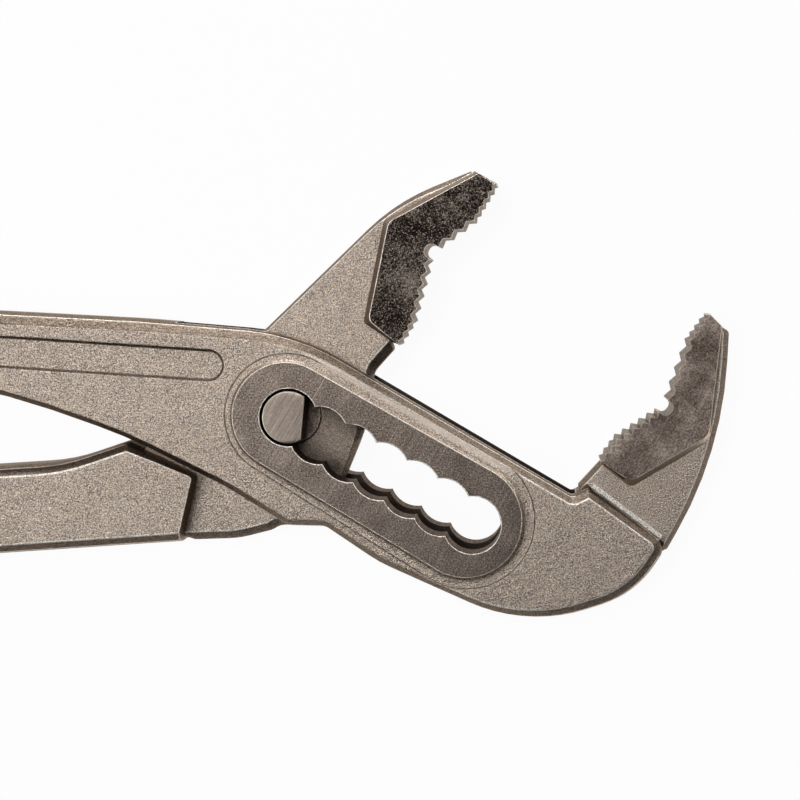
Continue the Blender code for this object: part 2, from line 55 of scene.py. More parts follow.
# Slot, pin and boss
SLOT_NOTCHES = 7
SLOT_PITCH = 0.00756
SLOT_TILT = math.radians(30.3)
SLOT_ALONG = Vector((math.cos(SLOT_TILT), -math.sin(SLOT_TILT)))
SLOT_ACROSS = Vector((math.sin(SLOT_TILT), math.cos(SLOT_TILT)))
LAST_NOTCH = SLOT_PITCH * (SLOT_NOTCHES - 1) * SLOT_ALONG
NOTCH_RADIUS = 0.0061
SLOT_EDGE = 0.00025
PIN_RADIUS = 0.0056
PIN_FLAT_OFFSET = 0.0032
PIN_FLAT_TURN = math.radians(-5.0)
PIN_CORNER_RADIUS = 0.0006
PIN_EDGE = 0.00022
PIN_COLLAR_RADIUS = 0.0060
PIN_COLLAR_SINK = 0.0003
PIN_SEAT_RADIUS = 0.00604
PIN_SEAT_CHAMFER = 0.0003
BOSS_RADII = (0.01145, 0.0121)
BOSS_HANDLE_LEAD = 0.0007
BOSS_END_SHORTFALL = 0.0016
BOSS_COVE = 0.0015
BOSS_EDGE = 0.0002
BOSS_SINK = 0.00014
BOSS_LINE_RADII = (0.0134, 0.0149)
BOSS_LINE_WIDTH = 0.0004
BOSS_LINE_DEPTH = 0.0003
BOSS_LINE_GAP = 0.0420
BOSS_LINE_SLOPE = 0.5

# Forged sides
SIDE_DRAFT = 0.0020
SIDE_DRAFT_DEPTH = 0.0038
SIDE_SLOPE_DEPTH = 0.0015
SIDE_STEEP_SHARE = 0.28
SIDE_RADIUS = 0.0012
FACE_EDGE_RADIUS = 0.0005
FACE_INSET = 0.0005
SIDE_CORE = 0.1
WEB_EDGE_RADIUS = 0.0005
WEB_DRAFT_SHARE = 0.30
WEB_STEEP_SHARE = 0.4
WEB_FACE_SHARE = 1.3

# Handles and the sunken panel
HANDLE_LENGTH = 0.1550
HANDLE_END_RADIUS = 0.0068
HANDLE_TAPER = 0.0015
HANDLE_TAPER_LENGTH = 0.0750
PANEL_LENGTH = 0.0600
PANEL_HALF_WIDTH = 0.00345
PANEL_DEPTH = 0.0007
PANEL_DRAFT = 0.0005
PANEL_EDGE = 0.00025
PANEL_TURN = math.radians(-3.75)
PANEL_END = Vector((-0.0174, 0.0110))

# Jaw teeth
FINE_TOOTH_PITCH = 0.00145
FINE_TOOTH_DEPTH = 0.0006
COARSE_TOOTH_DEPTH = 0.0010
TOOTH_LEAN = 0.64
TOOTH_LAND = 0.07
TOOTH_RELIEF = 0.0030
THROAT_DEPTH = 0.0060
THROAT_RADIUS = 0.0016
THROAT_WIDTH_SHARE = 0.9
THROAT_FILLET_SHARE = 0.8
PAD_EDGE = 0.0002
RIM_DEPTH = 0.00026
PAD_WALL = 0.0013
ROOT_GROOVE_WIDTH = 0.0020
ROOT_GROOVE_DEPTH = 0.0003
ROOT_BEAD_OFFSET = 0.00145
ROOT_BEAD_WIDTH = 0.0014
ROOT_BEAD_HEIGHT = 0.00035
ROOT_BEAD_FILLET = 0.00014
# Draft shares of the ridge's edges: along its run, at its ends and against its run
ROOT_BEAD_DRAFTS = {1: 1.0, 0: 0.4, -1: 0.05}

# Drawing
ARC_STEP = math.radians(5.0)
ARC_SLACK = 0.001
PROFILE_STEP = math.radians(16.0)
PROFILE_REACH = 0.48
LEAST_TURN = 0.01
NEARLY_STRAIGHT = 0.2
SMALLEST_FILLET = 0.0003
RIM_ROUND = 0.3
CUT_MARGIN = 0.0020
WELD = 2e-6
TOOL_WELD = 1e-6
SHARP_ANGLE = math.radians(34.0)
FRONT_AND_REAR = (True, False)
CENTRE = Vector((0.0, 0.0))

# Curves from the foot upwards: shares of the rise or depth, and of the width
PAD_WALL_CURVE = ((-0.05, 1.0), (0.06, 0.84), (0.30, 0.52), (0.60, 0.22))
BOSS_COVE_CURVE = ((0.02, 1.0), (0.08, 0.68), (0.20, 0.42), (0.42, 0.20))
BOSS_RING_CURVE = ((-1, 0.45), (1, -0.45))
BOSS_CORE_CURVE = ((-2, 0.1), (-1, 0.55), (2, 1.9))
ROOT_BEAD_CURVE = ((-1.0, 0.0), (-0.2, 0.0), (0.8, 0.5), (1.0, 0.68))

# Finish zones: how level a face is goes from 0 on a wall to 1 on a flat
LEVEL_FLAT = 0.99
LEVEL_SIDE = 0.9
LEVEL_COVE = 0.95
LEVEL_WALL = 0.6
LEVEL_RIM = (0.25, 0.995)
HEIGHT_SLACK = 0.0001
PAD_REACH = 0.04
JAW_LEAD = 0.0020
JAW_STRIP_ALONG = (-0.0005, 0.0002)
JAW_STRIP_DEPTH = (-0.0010, 0.0075)
SLOT_WALL_SLACK = 0.0004
COVE_SLACK = 0.0004
BEAD_SLACK = 0.00002
BEAD_SPREAD = 0.6
GROOVE_TOP = 0.0057
TONGUE_SIDE_SPREAD = 0.0085

# Ends of the painted bands along the slot, each from none to full
BAND_ENDS = ((-0.008, 0.0), (0.052, 0.044))
OCCLUSION_SAMPLES = 8
MARK_DEPTH = 0.003

# Noise scales, in features a metre
SATIN_GRAIN = 3000.0
SATIN_FINE = 4200.0
SATIN_SPARKLE = 4600.0
SATIN_MOTTLE = 210.0
SATIN_SWELL = 900.0
GROUND_GRAIN = 3000.0
GROUND_SPECK = 3700.0
CUT_GRAIN = 2600.0
CUT_MARKS = (2400.0, 2400.0, 220.0)

# Colours
SATIN_NICKEL = (0.445, 0.376, 0.319)
SATIN_SHARES = ((0.37, 0.38, 0.42), (1.0, 1.0, 1.0), (1.76, 1.71, 1.60))
SATIN_GLANCE = (0.84, 0.74, 0.65)
# Painted highlight: near-white glints strewn over the satin nickel
PAINTED_GLINT = (0.96, 0.89, 0.80, 1.0)
# Painted shade: a brown tone and a near-black one laid into hollows and creases where shade falls
PAINTED_SHADE_BROWN = (0.27, 0.21, 0.165, 1.0)
PAINTED_CREASE_SHADE = (0.10, 0.074, 0.056, 1.0)
# Edge tones: worn metal on outer edges, which also paint a highlight along them
WORN_AND_HIGHLIGHT_NICKEL = (0.92, 0.84, 0.74, 1.0)
WORN_AND_HIGHLIGHT_STEEL = (0.85, 0.76, 0.66, 1.0)
WORN_AND_HIGHLIGHT_PIN = (0.8, 0.72, 0.63, 1.0)
SPECK = (0.50, 0.43, 0.37, 1.0)
SCRATCH = (0.55, 0.48, 0.42, 1.0)
PIN_TONES = ((0.14, 0.114, 0.095), (0.25, 0.21, 0.18), (0.46, 0.40, 0.35))
# Painted shade on the inner leg near the slot's rims
SLOT_RIM_SHADE = (0.06, 0.045, 0.035)

# Direction from which the room is brightest, and its tones from the dark side to the bright one
SKY_AXIS = (-0.30, 0.75, 0.59)
SKY_TONES = (
    (0.0, (0.025, 0.0235, 0.0237)),
    (0.25, (0.035, 0.033, 0.0334)),
    (0.40, (0.06, 0.0565, 0.0572)),
    (0.52, (0.11, 0.104, 0.1055)),
    (0.62, (0.17, 0.163, 0.165)),
    (0.80, (0.34, 0.33, 0.333)),
)
# Lamps: place, point aimed at, width and height, watts and colour
LAMPS = {
    "soft_key": ((-0.46, -0.11, 0.60), (-0.03, -0.01, 0.0), (0.35, 0.5), 2.15, (1.0, 0.99, 0.975)),
    "top_key": ((-0.15, 0.27, 0.68), (0.0, 0.0, 0.0), (0.5, 0.3), 1.9, (1.0, 0.99, 0.985)),
    "low_top": ((-0.22, 0.95, 0.035), (0.0, 0.0, 0.012), (0.75, 0.05), 4.5, (1.0, 0.98, 0.96)),
    "low_side": ((0.75, 0.75, 0.035), (0.05, 0.0, 0.012), (0.8, 0.06), 2.2, (1.0, 0.98, 0.96)),
    "right_fill": ((0.70, 0.15, 0.55), (0.05, 0.0, 0.0), (0.3, 0.3), 0.6, (1.0, 0.98, 0.96)),
}
# Share of the pale floor that is plain white to the eye, beside the lit and shadowed rest
FLOOR_GLOW = 0.95
FLOOR_REACH = 3.0

# Outline corners: x, y, fillet radius and share of the side draft on the edge that follows
STOP_EDGE_INNER = Vector((-0.0136, -0.0159))
STOP_EDGE_OUTER = Vector((-0.0360, -0.0046))
SLOTTED_HANDLE = [
    (-HANDLE_LENGTH, 0.0238, HANDLE_END_RADIUS, 1.35),
    (-0.1050, 0.0246, 0.200, 1.35),
    (-0.0640, 0.0226, 0.200, 1.35),
    (-0.0330, 0.02095, 0.150, 1.2),
    (0.0008, 0.0181, 0.050, 0.85),
]
SLOTTED_HEAD = [
    (0.0213, 0.0059, 0.0010, 1.0),
    (0.02475, 0.0076, 0.0004, 0.8),
    (0.0423, -0.0051, 0.0035, 1.4),
    (0.0351, -0.0159, 0.0220, 1.4),
    (0.0118, -0.0234, 0.0360, 1.05),
]
SLOTTED_BELLY = [
    (0.0188, -0.0319, 0.030, 1.0),
    (0.0072, -0.0241, 0.003, 1.0),
    (-0.0008, -0.0239, 0.004, 1.0),
    (STOP_EDGE_INNER.x, STOP_EDGE_INNER.y, 0.060, 1.0),
    (STOP_EDGE_OUTER.x, STOP_EDGE_OUTER.y, 0.100, 0.8),
    (-0.0660, 0.0060, 0.120, 0.8),
    (-0.1050, 0.0094, 0.200, 1.0),
    (-HANDLE_LENGTH, 0.0094, HANDLE_END_RADIUS, 1.0),
]
FIXED_JAW_WEB = [
    (0.0238, 0.0029, 0.0, 0.0),
    (0.0227, 0.0075, 0.0005, 0.4),
    (0.0277, 0.0129, 0.0, 0.0),
    (0.0308, 0.0144, 0.0, 0.0),
    (0.0443, 0.0211, 0.0, 0.0),
    (0.0478, 0.0334, 0.0, 0.0),
    (0.0518, 0.0434, 0.0, 0.5),
    (0.05569, 0.0410, 0.0012, 0.8),
    (0.0542, 0.0145, 0.085, 0.8),
    (0.0422, -0.0064, 0.0, 0.0),
    (0.0373, -0.0071, 0.0, 0.0),
    (0.0300, -0.0050, 0.0, 0.0),
]
FIXED_JAW_PAD = [
    (0.0536, 0.0422, 0.0006, 0.3),
    (0.0508, 0.0186, 0.0040, 1.0),
    (0.0340, 0.0087, 0.0030, 1.0),
    (0.0287, 0.0123, 0.0, 0.0),
]
FIXED_JAW_FACE = {
    "start": LAST_NOTCH + Vector((0.0274, 0.0132)),
    "turn": math.radians(53.6),
    "length": 0.0395,
    "throat": (0.0059, 0.0176, 0.0323),
    "coarse": (5, 4),
    "into": 1.0,
}
ROOT_GROOVE_ENDS = (Vector((0.02485, 0.0066)), Vector((0.04065, -0.0053)))
INNER_HANDLE_TOP = [
    (-HANDLE_LENGTH, -0.0114, HANDLE_END_RADIUS, 1.0),
    (-0.1080, -0.0138, 0.150, 1.0),
    (-0.0490, -0.0101, 0.040, 1.0),
]
INNER_HANDLE_BOTTOM = [
    (-0.0239, -0.0273, 0.0, 1.2),
    (-0.0700, -0.0304, 0.150, 1.2),
    (-0.1100, -0.0306, 0.150, 1.2),
    (-HANDLE_LENGTH, -0.0270, HANDLE_END_RADIUS, 1.0),
]
# Stations of the inner leg's shoulder: x, gap to the slotted leg, fillet radius and draft share
SHOULDER_STATIONS = (
    (-0.0358, 0.0008, 0.0020, 0.6),
    (-0.0282, 0.0006, 0.0, 0.1),
    (-0.0206, 0.0004, 0.0010, 0.1),
)
TONGUE = [
    (-0.0335, -0.0078, 0.0, 0.4),
    (0.0222, 0.0464, 0.045, 0.6),
    (0.0386, 0.0531, 0.0006, 0.3),
    (0.0411, 0.0508, 0.0, 0.0),
    (0.0300, 0.0402, 0.0, 0.0),
    (0.0256, 0.0360, 0.0, 0.0),
    (0.0237, 0.0225, 0.0, 0.0),
    (0.0208, 0.0163, 0.0, 0.0),
    (0.0219, 0.0143, 0.0006, 1.0),
    (0.0174, 0.0093, 0.0040, 0.8),
    (0.0156, -0.0029, 0.030, 0.5),
    (0.0068, -0.0243, 0.0042, 1.0),
    (-0.0030, -0.0241, 0.004, 1.0),
    (-0.0048, -0.0252, 0.004, 1.0),
    (-0.0120, -0.0270, 0.020, 1.0),
    (-0.0215, -0.0273, 0.0, 0.0),
    (-0.0290, -0.0240, 0.0, 0.0),
]
MOVING_JAW_PAD = [
    (0.0220, 0.0163, 0.0, 1.0),
    (0.0166, 0.0206, 0.0022, 1.0),
    (0.0209, 0.0418, 0.0030, 0.8),
    (0.0404, 0.0523, 0.0004, 0.0),
]
MOVING_JAW_FACE = {
    "start": Vector((0.0233, 0.0152)),
    "turn": math.radians(58.8),
    "length": 0.0407,
    "throat": (0.0059, 0.0209, 0.0313),
    "coarse": (5, 3),
    "into": -1.0,
}
MORTISE_WINDOW = [
    Vector((-0.0220, 0.0300)),
    Vector((0.0300, 0.0300)),
    LAST_NOTCH + Vector((0.0186, 0.0149)),
    LAST_NOTCH + Vector((0.0352, -0.0271)),
    Vector((0.0, -0.0500)),
    Vector((-0.0362, -0.0150)),
]


def heading(angle):
    return Vector((math.cos(angle), math.sin(angle)))


def run_axes(first, second):
    """Directions from one point to another, and across that to the left."""
    run = (second - first).normalized()
    return run, Vector((-run.y, run.x))


def arc_steps(turn):
    return max(2, math.ceil(abs(turn) / ARC_STEP - ARC_SLACK))


def arc(centre, radius, start, end, steps=None):
    """Points on an arc from one angle to another, ends included."""
    steps = steps or arc_steps(end - start)
    angles = [start + (end - start) * step / steps for step in range(steps + 1)]
    return [centre + radius * heading(angle) for angle in angles]


def edge_turn(corners, index):
    """Directions of the edges that meet at a corner, and the angle between them."""
    corner = Vector(corners[index][:2])
    arriving = (corner - Vector(corners[index - 1][:2])).normalized()
    leaving = (Vector(corners[(index + 1) % len(corners)][:2]) - corner).normalized()
    turn = math.atan2(arriving.x * leaving.y - arriving.y * leaving.x, arriving.dot(leaving))
    return arriving, leaving, turn


def drawn_in(corners, distance):
    """Clockwise corners with every edge moved inwards by its draft times the distance."""
    moved = []
    for index, (x, y, radius, draft) in enumerate(corners):
        arriving, leaving, turn = edge_turn(corners, index)
        normal_a = Vector((arriving.y, -arriving.x))
        normal_b = Vector((leaving.y, -leaving.x))
        shift_a = distance * corners[index - 1][3]
        shift_b = distance * draft
        cross = normal_a.x * normal_b.y - normal_a.y * normal_b.x
        if abs(cross) < NEARLY_STRAIGHT:
            shift = (normal_a + normal_b).normalized() * (shift_a + shift_b) / 2
        else:
            shift = Vector((
                (shift_a * normal_b.y - shift_b * normal_a.y) / cross,
                (normal_a.x * shift_b - normal_b.x * shift_a) / cross,
            ))
        if radius > 0.0:
            radius = max(SMALLEST_FILLET, radius + math.copysign((shift_a + shift_b) / 2, turn))
        moved.append((x + shift.x, y + shift.y, radius, draft))
    return moved


def rounded(corners, counts):
    """Outline points of a closed polygon with filleted corners."""
    points = []
    for index, (x, y, radius, _) in enumerate(corners):
        arriving, _, turn = edge_turn(corners, index)
        if radius == 0.0:
            points.append(Vector((x, y)))
            continue
        side = math.copysign(1.0, turn)
        begin = Vector((x, y)) - radius * math.tan(abs(turn) / 2) * arriving
        centre = begin + side * radius * Vector((-arriving.y, arriving.x))
        first = math.atan2(-side * arriving.x, side * arriving.y)
        points += arc(centre, radius, first, first + turn, counts[index])
    return points


def fillet_counts(corners):
    """Steps of each corner's fillet, the same at every height."""
    return [arc_steps(edge_turn(corners, index)[2]) for index in range(len(corners))]


def clockwise(points):
    area = sum(a.x * b.y - b.x * a.y for a, b in zip(points, points[1:] + points[:1]))
    return points if area < 0.0 else points[::-1]


def even(points):
    """Corners without fillets from outline points, with the same draft on every edge."""
    return [(p.x, p.y, 0.0, 1.0) for p in clockwise(points)]


def disc(radius):
    return even(arc(CENTRE, radius, 0.0, 2 * math.pi)[:-1])


def soft_profile(stations):
    """Levels of height and distance from profile corners, each rounded by its radius."""
    levels = [stations[0][:2]]
    for before, corner, after in zip(stations, stations[1:], stations[2:]):
        here = Vector(corner[:2])
        back = Vector(before[:2]) - here
        onward = Vector(after[:2]) - here
        turn = math.pi - back.angle(onward)
        if corner[2] == 0.0 or turn < LEAST_TURN:
            levels.append(corner[:2])
            continue
        longest = PROFILE_REACH * min(back.length, onward.length)
        reach = min(corner[2] * math.tan(turn / 2), longest)
        first = here + back.normalized() * reach
        last = here + onward.normalized() * reach
        steps = max(2, math.ceil(turn / PROFILE_STEP))
        for step in range(steps + 1):
            share = step / steps
            near = first.lerp(here, share)
            levels.append(tuple(near.lerp(here.lerp(last, share), share)))
    levels.append(stations[-1][:2])
    return levels


def both_faces(levels):
    """Levels above the middle plane, and the same below it, in rising order."""
    below = [(MID_HEIGHT - height, distance) for height, distance in reversed(levels)]
    above = [(MID_HEIGHT + height, distance) for height, distance in levels]
    return below + above


def on_face(levels, front):
    """Levels on the front face, or mirrored to the rear one, in rising order."""
    side = 1.0 if front else -1.0
    return sorted((MID_HEIGHT + side * height, distance) for height, distance in levels)


def rim(height, edge):
    """Levels of a small rounded edge below a flat top."""
    return [(height - edge, 0.0), (height - edge * RIM_ROUND, edge * RIM_ROUND), (height, edge)]


def mesh_object(name, model):
    bmesh.ops.recalc_face_normals(model, faces=model.faces)
    mesh = bpy.data.meshes.new(name)
    model.to_mesh(mesh)
    model.free()
    made = bpy.data.objects.new(name, mesh)
    bpy.context.scene.collection.objects.link(made)
    return made


def stacked(name, corners, levels):
    """Closed solid from one outline drawn in by a distance at each height; levels go upwards."""
    model = bmesh.new()
    rings = []
    counts = fillet_counts(corners)
    for height, distance in levels:
        outline = rounded(drawn_in(corners, distance), counts)
        rings.append([model.verts.new((p.x, p.y, height)) for p in outline])
    model.faces.new(rings[0])
    model.faces.new(rings[-1][::-1])
    for lower, upper in zip(rings, rings[1:]):
        for index in range(len(lower)):
            follow = (index + 1) % len(lower)
            model.faces.new((lower[follow], lower[index], upper[index], upper[follow]))
    return mesh_object(name, model)


def settled(made):
    """Turn an object's evaluated shape into its plain mesh and drop its modifiers."""
    graph = bpy.context.evaluated_depsgraph_get()
    mesh = bpy.data.meshes.new_from_object(made.evaluated_get(graph), depsgraph=graph)
    made.modifiers.clear()
    made.data = mesh
    return made


def combined(body, *steps):
    """Join or cut a body with tools, each an operation and an object that is then removed."""
    for operation, tool in steps:
        step = body.modifiers.new(tool.name, "BOOLEAN")
        step.operation = operation
        step.solver = "EXACT"
        step.object = tool
    settled(body)
    for _, tool in steps:
        bpy.data.objects.remove(tool, do_unlink=True)
    return body


def from_last_notch(corners):
    return [(x + LAST_NOTCH.x, y + LAST_NOTCH.y, *rest) for x, y, *rest in corners]


def forged_levels():
    """Side of a forging: upright, then steep, then sloped to a soft edge and a flat face."""
    half = BOX_THICKNESS / 2
    return both_faces(soft_profile([
        (half * SIDE_CORE, 0.0, 0.0),
        (half - SIDE_DRAFT_DEPTH, 0.0, SIDE_RADIUS),
        (half - SIDE_SLOPE_DEPTH, SIDE_DRAFT * SIDE_STEEP_SHARE, SIDE_RADIUS),
        (half, SIDE_DRAFT, FACE_EDGE_RADIUS),
        (half, SIDE_DRAFT + FACE_INSET, 0.0),
    ]))


def web_levels(thickness):
    """Side of a thin web: a steep middle and a broad rounded slope to each face."""
    half = thickness / 2
    levels = soft_profile([
        (half * SIDE_CORE, 0.0, 0.0),
        (half * WEB_DRAFT_SHARE, 0.0, WEB_EDGE_RADIUS),
        (half * 2 * WEB_DRAFT_SHARE, SIDE_DRAFT * WEB_STEEP_SHARE, WEB_EDGE_RADIUS),
        (half, SIDE_DRAFT, WEB_EDGE_RADIUS),
        (half, SIDE_DRAFT * WEB_FACE_SHARE, 0.0),
    ])
    return both_faces(levels[:-1])


def pad_levels(web_thickness):
    """Side of a jaw pad: a sloped wall with a crease at the web, and a small rounded rim."""
    web = web_thickness / 2
    half = JAW_PAD_THICKNESS / 2
    wall = [(web * 0.5, -PAD_WALL)]
    wall += [(web + (half - web) * up, -PAD_WALL * out) for up, out in PAD_WALL_CURVE]
    return both_faces(wall + rim(half, PAD_EDGE))


def new_tree(name, inputs):
    """Geometry Nodes tree with a mesh output and inputs from pairs of kind and names."""
    tree = bpy.data.node_groups.new(name, "GeometryNodeTree")
    tree.interface.new_socket("Geometry", in_out="OUTPUT", socket_type="NodeSocketGeometry")
    for kind, labels in inputs:
        for label in labels:
            tree.interface.new_socket(label, in_out="INPUT", socket_type="NodeSocket" + kind)
    return tree, tree.nodes.new("NodeGroupInput").outputs


def wired(tree, kind, inputs=None, **settings):
    """Add a node, set its own settings, and link or set its inputs by name or number."""
    node = tree.nodes.new(kind)
    for key, value in settings.items():
        setattr(node, key, value)
    for key, value in (inputs or {}).items():
        if isinstance(value, bpy.types.NodeSocket):
            tree.links.new(value, node.inputs[key])
        else:
            node.inputs[key].default_value = value
    return node


def end_tree(tree, mesh, finish):
    """Give a tree's mesh its finish and send it out."""
    coated = wired(tree, "GeometryNodeSetMaterial", {"Geometry": mesh, "Material": finish})
    out = tree.nodes.new("NodeGroupOutput")
    tree.links.new(coated.outputs["Geometry"], out.inputs["Geometry"])
    return tree


def math_node(tree, operation, *values):
    return wired(tree, "ShaderNodeMath", dict(enumerate(values)), operation=operation).outputs[0]


def scaled(tree, vector, factor):
    node = wired(tree, "ShaderNodeVectorMath", {0: vector, "Scale": factor}, operation="SCALE")
    return node.outputs[0]


def summed(tree, first, second):
    node = wired(tree, "ShaderNodeVectorMath", {0: first, 1: second}, operation="ADD")
    return node.outputs[0]


def notch_row_tree():
    """Row of one notch tool at even steps, joined into a single cutting tool."""
    tree, given = new_tree("notch_row", (
        ("Object", ["Notch Tool"]),
        ("Int", ["Notches"]),
        ("Vector", ["Step"]),
        ("Material", ["Finish"]),
    ))
    line = wired(tree, "GeometryNodeMeshLine", {"Count": given["Notches"], "Offset": given["Step"]})
    tool = wired(tree, "GeometryNodeObjectInfo", {"Object": given["Notch Tool"]})
    row = wired(tree, "GeometryNodeInstanceOnPoints", {
        "Points": line.outputs["Mesh"],
        "Instance": tool.outputs["Geometry"],
    })
    real = wired(tree, "GeometryNodeRealizeInstances", {"Geometry": row.outputs["Instances"]})
    union = wired(tree, "GeometryNodeMeshBoolean", operation="UNION", solver="EXACT")
    tree.links.new(real.outputs["Geometry"], union.inputs["Mesh 2"])
    union.inputs["Self Intersection"].default_value = True
    return end_tree(tree, union.outputs["Mesh"], given["Finish"])


def tooth_row_tree():
    """Tool that cuts a row of leaning teeth with narrow lands into a jaw face."""
    tree, given = new_tree("tooth_row", (
        ("Vector", ["Start", "Step", "Inward"]),
        ("Int", ["Teeth"]),
        ("Float", ["Depth", "Land", "Lean", "Relief", "Height"]),
        ("Material", ["Finish"]),
    ))
    index = tree.nodes.new("GeometryNodeInputIndex").outputs[0]
    count = math_node(tree, "MULTIPLY_ADD", given["Teeth"], 3.0, 1.0)
    line = wired(tree, "GeometryNodeMeshLine", {"Count": count})
    tooth = math_node(tree, "FLOOR", math_node(tree, "DIVIDE", index, 3.0))
    stage = math_node(tree, "MODULO", index, 3.0)
    at_land = math_node(tree, "COMPARE", stage, 1.0, 0.1)
    at_valley = math_node(tree, "COMPARE", stage, 2.0, 0.1)
    slope = math_node(tree, "SUBTRACT", 1.0, given["Land"])
    valley = math_node(tree, "MULTIPLY_ADD", slope, given["Lean"], given["Land"])
    along = math_node(tree, "MULTIPLY_ADD", at_land, given["Land"], tooth)
    along = math_node(tree, "MULTIPLY_ADD", at_valley, valley, along)
    depth = math_node(tree, "MULTIPLY", at_valley, given["Depth"])
    place = summed(tree, given["Start"], scaled(tree, given["Step"], along))
    place = summed(tree, place, scaled(tree, given["Inward"], depth))
    edge = wired(tree, "GeometryNodeSetPosition", {
        "Geometry": line.outputs["Mesh"],
        "Position": place,
    })
    outward = scaled(tree, given["Inward"], math_node(tree, "MULTIPLY", given["Relief"], -1.0))
    strip = wired(tree, "GeometryNodeExtrudeMesh", {
        "Mesh": edge.outputs["Geometry"],
        "Offset": outward,
        "Offset Scale": 1.0,
    }, mode="EDGES")
    rise = wired(tree, "ShaderNodeCombineXYZ", {"Z": given["Height"]})
    block = wired(tree, "GeometryNodeExtrudeMesh", {
        "Mesh": strip.outputs["Mesh"],
        "Offset": rise.outputs[0],
        "Offset Scale": 1.0,
        "Individual": False,
    }, mode="FACES")
    joined = tree.nodes.new("GeometryNodeJoinGeometry")
    tree.links.new(block.outputs["Mesh"], joined.inputs["Geometry"])
    tree.links.new(strip.outputs["Mesh"], joined.inputs["Geometry"])
    closed = wired(tree, "GeometryNodeMergeByDistance", {
        "Geometry": joined.outputs["Geometry"],
        "Distance": TOOL_WELD,
    })
    real = wired(tree, "GeometryNodeRealizeInstances", {"Geometry": closed.outputs["Geometry"]})
    return end_tree(tree, real.outputs["Geometry"], given["Finish"])


def grown(name, tree, values):
    """Plain mesh object from a Geometry Nodes tree with the given input values."""
    made = bpy.data.objects.new(name, bpy.data.meshes.new(name))
    bpy.context.scene.collection.objects.link(made)
    modifier = made.modifiers.new(tree.name, "NODES")
    modifier.node_group = tree
    for item in tree.interface.items_tree:
        if item.name in values:
            modifier[item.identifier] = values[item.name]
    settled(made)
    model = bmesh.new()
    model.from_mesh(made.data)
    bmesh.ops.recalc_face_normals(model, faces=model.faces)
    model.to_mesh(made.data)
    model.free()
    return made


def jaw_axes(face):
    """Directions along a jaw face and into the jaw."""
    along = heading(face["turn"])
    return along, face["into"] * Vector((along.y, -along.x))


def jaw_path(face):
    """Untoothed jaw face from its inner end to its tip, and the tooth rows that are cut in it."""
    along, inward = jaw_axes(face)
    near, bottom, far = face["throat"]
    length = face["length"]

    def place(distance, depth):
        return face["start"] + along * distance + inward * depth

    floor = THROAT_DEPTH - THROAT_RADIUS
    near_tip = place(bottom - THROAT_RADIUS, floor * (1.0 - THROAT_RADIUS / (bottom - near)))
    far_tip = place(bottom + THROAT_RADIUS, floor * (1.0 - THROAT_RADIUS / (far - bottom)))
    throat = [place(bottom + side * THROAT_RADIUS * THROAT_WIDTH_SHARE, THROAT_DEPTH)
              for side in (-1, 1)]
    corners = [
        (*place(0.0, 0.0), 0.0),
        (*place(near, 0.0), 0.0),
        (*near_tip, 0.0),
        (*throat[0], THROAT_RADIUS * THROAT_FILLET_SHARE),
        (*throat[1], THROAT_RADIUS * THROAT_FILLET_SHARE),
        (*far_tip, 0.0),
        (*place(far, 0.0), 0.0),
        (*place(length, 0.0), 0.0),
    ]
    fine_near = max(2, round(near / FINE_TOOTH_PITCH)) - 1
    fine_far = max(2, round((length - far) / FINE_TOOTH_PITCH)) - 1
    back = 1.0 - TOOTH_LEAN
    rows = [
        (place(0.0, 0.0), place(near, 0.0), fine_near, FINE_TOOTH_DEPTH, back),
        (place(near, 0.0), near_tip, face["coarse"][0], COARSE_TOOTH_DEPTH, back),
        (far_tip, place(far, 0.0), face["coarse"][1], COARSE_TOOTH_DEPTH, TOOTH_LEAN),
        (place(far, 0.0), place(length, 0.0), fine_far, FINE_TOOTH_DEPTH, TOOTH_LEAN),
    ]
    return corners, rows, inward


def toothed_pad(name, face, back, web_thickness, tree, finish):
    """Jaw pad with its rows of teeth cut by the tooth row tree."""
    corners, rows, inward = jaw_path(face)
    if face["into"] < 0.0:
        corners.reverse()
    outline = [(x, y, radius, 0.0) for x, y, radius in corners] + back
    pad = stacked(name, outline, pad_levels(web_thickness))
    lift = MID_HEIGHT - JAW_PAD_THICKNESS / 2 - CUT_MARGIN
    tools = []
    for number, (start, end, teeth, depth, lean) in enumerate(rows):
        step = (end - start) / teeth
        values = {
            "Start": (start.x, start.y, lift),
            "Step": (step.x, step.y, 0.0),
            "Inward": (inward.x, inward.y, 0.0),
            "Teeth": teeth,
            "Depth": depth,
            "Land": TOOTH_LAND,
            "Lean": lean,
            "Relief": TOOTH_RELIEF,
            "Height": JAW_PAD_THICKNESS + 2 * CUT_MARGIN,
            "Finish": finish,
        }
        tools.append(("DIFFERENCE", grown(f"{name}_row_{number}", tree, values)))
    return combined(pad, *tools)


def stadium(first, second, first_radius, second_radius):
    """Outline with round ends about two centres."""
    turn = math.atan2(second.y - first.y, second.x - first.x)
    quarter = math.pi / 2
    points = arc(first, first_radius, turn + 3 * quarter, turn + quarter)
    return points + arc(second, second_radius, turn + quarter, turn - quarter)


def boss_centres():
    return -SLOT_ALONG * BOSS_HANDLE_LEAD, LAST_NOTCH - SLOT_ALONG * BOSS_END_SHORTFALL


def boss(front):
    """Raised ground pad round the slot, with a coved foot and a small rounded rim."""
    outline = even(stadium(*boss_centres(), *BOSS_RADII))
    face = BOX_THICKNESS / 2
    foot = face - BOSS_SINK
    levels = [(face - BOSS_HEIGHT, -BOSS_COVE)]
    levels += [(foot + BOSS_HEIGHT * up, -BOSS_COVE * out) for up, out in BOSS_COVE_CURVE]
    levels += rim(face + BOSS_HEIGHT, BOSS_EDGE)
    return stacked("boss_tool", outline, on_face(levels, front))


def boss_line_tool(front):
    """Cutter for the shallow step that rings the boss."""
    outline = even(stadium(*boss_centres(), *BOSS_LINE_RADII))
    face = BOX_THICKNESS / 2
    levels = [
        (face - BOSS_SINK, 0.0),
        (face, -BOSS_SINK * BOSS_LINE_SLOPE),
        (face + CUT_MARGIN, -CUT_MARGIN * BOSS_LINE_SLOPE),
    ]
    return stacked("boss_line_tool", outline, on_face(levels, front))


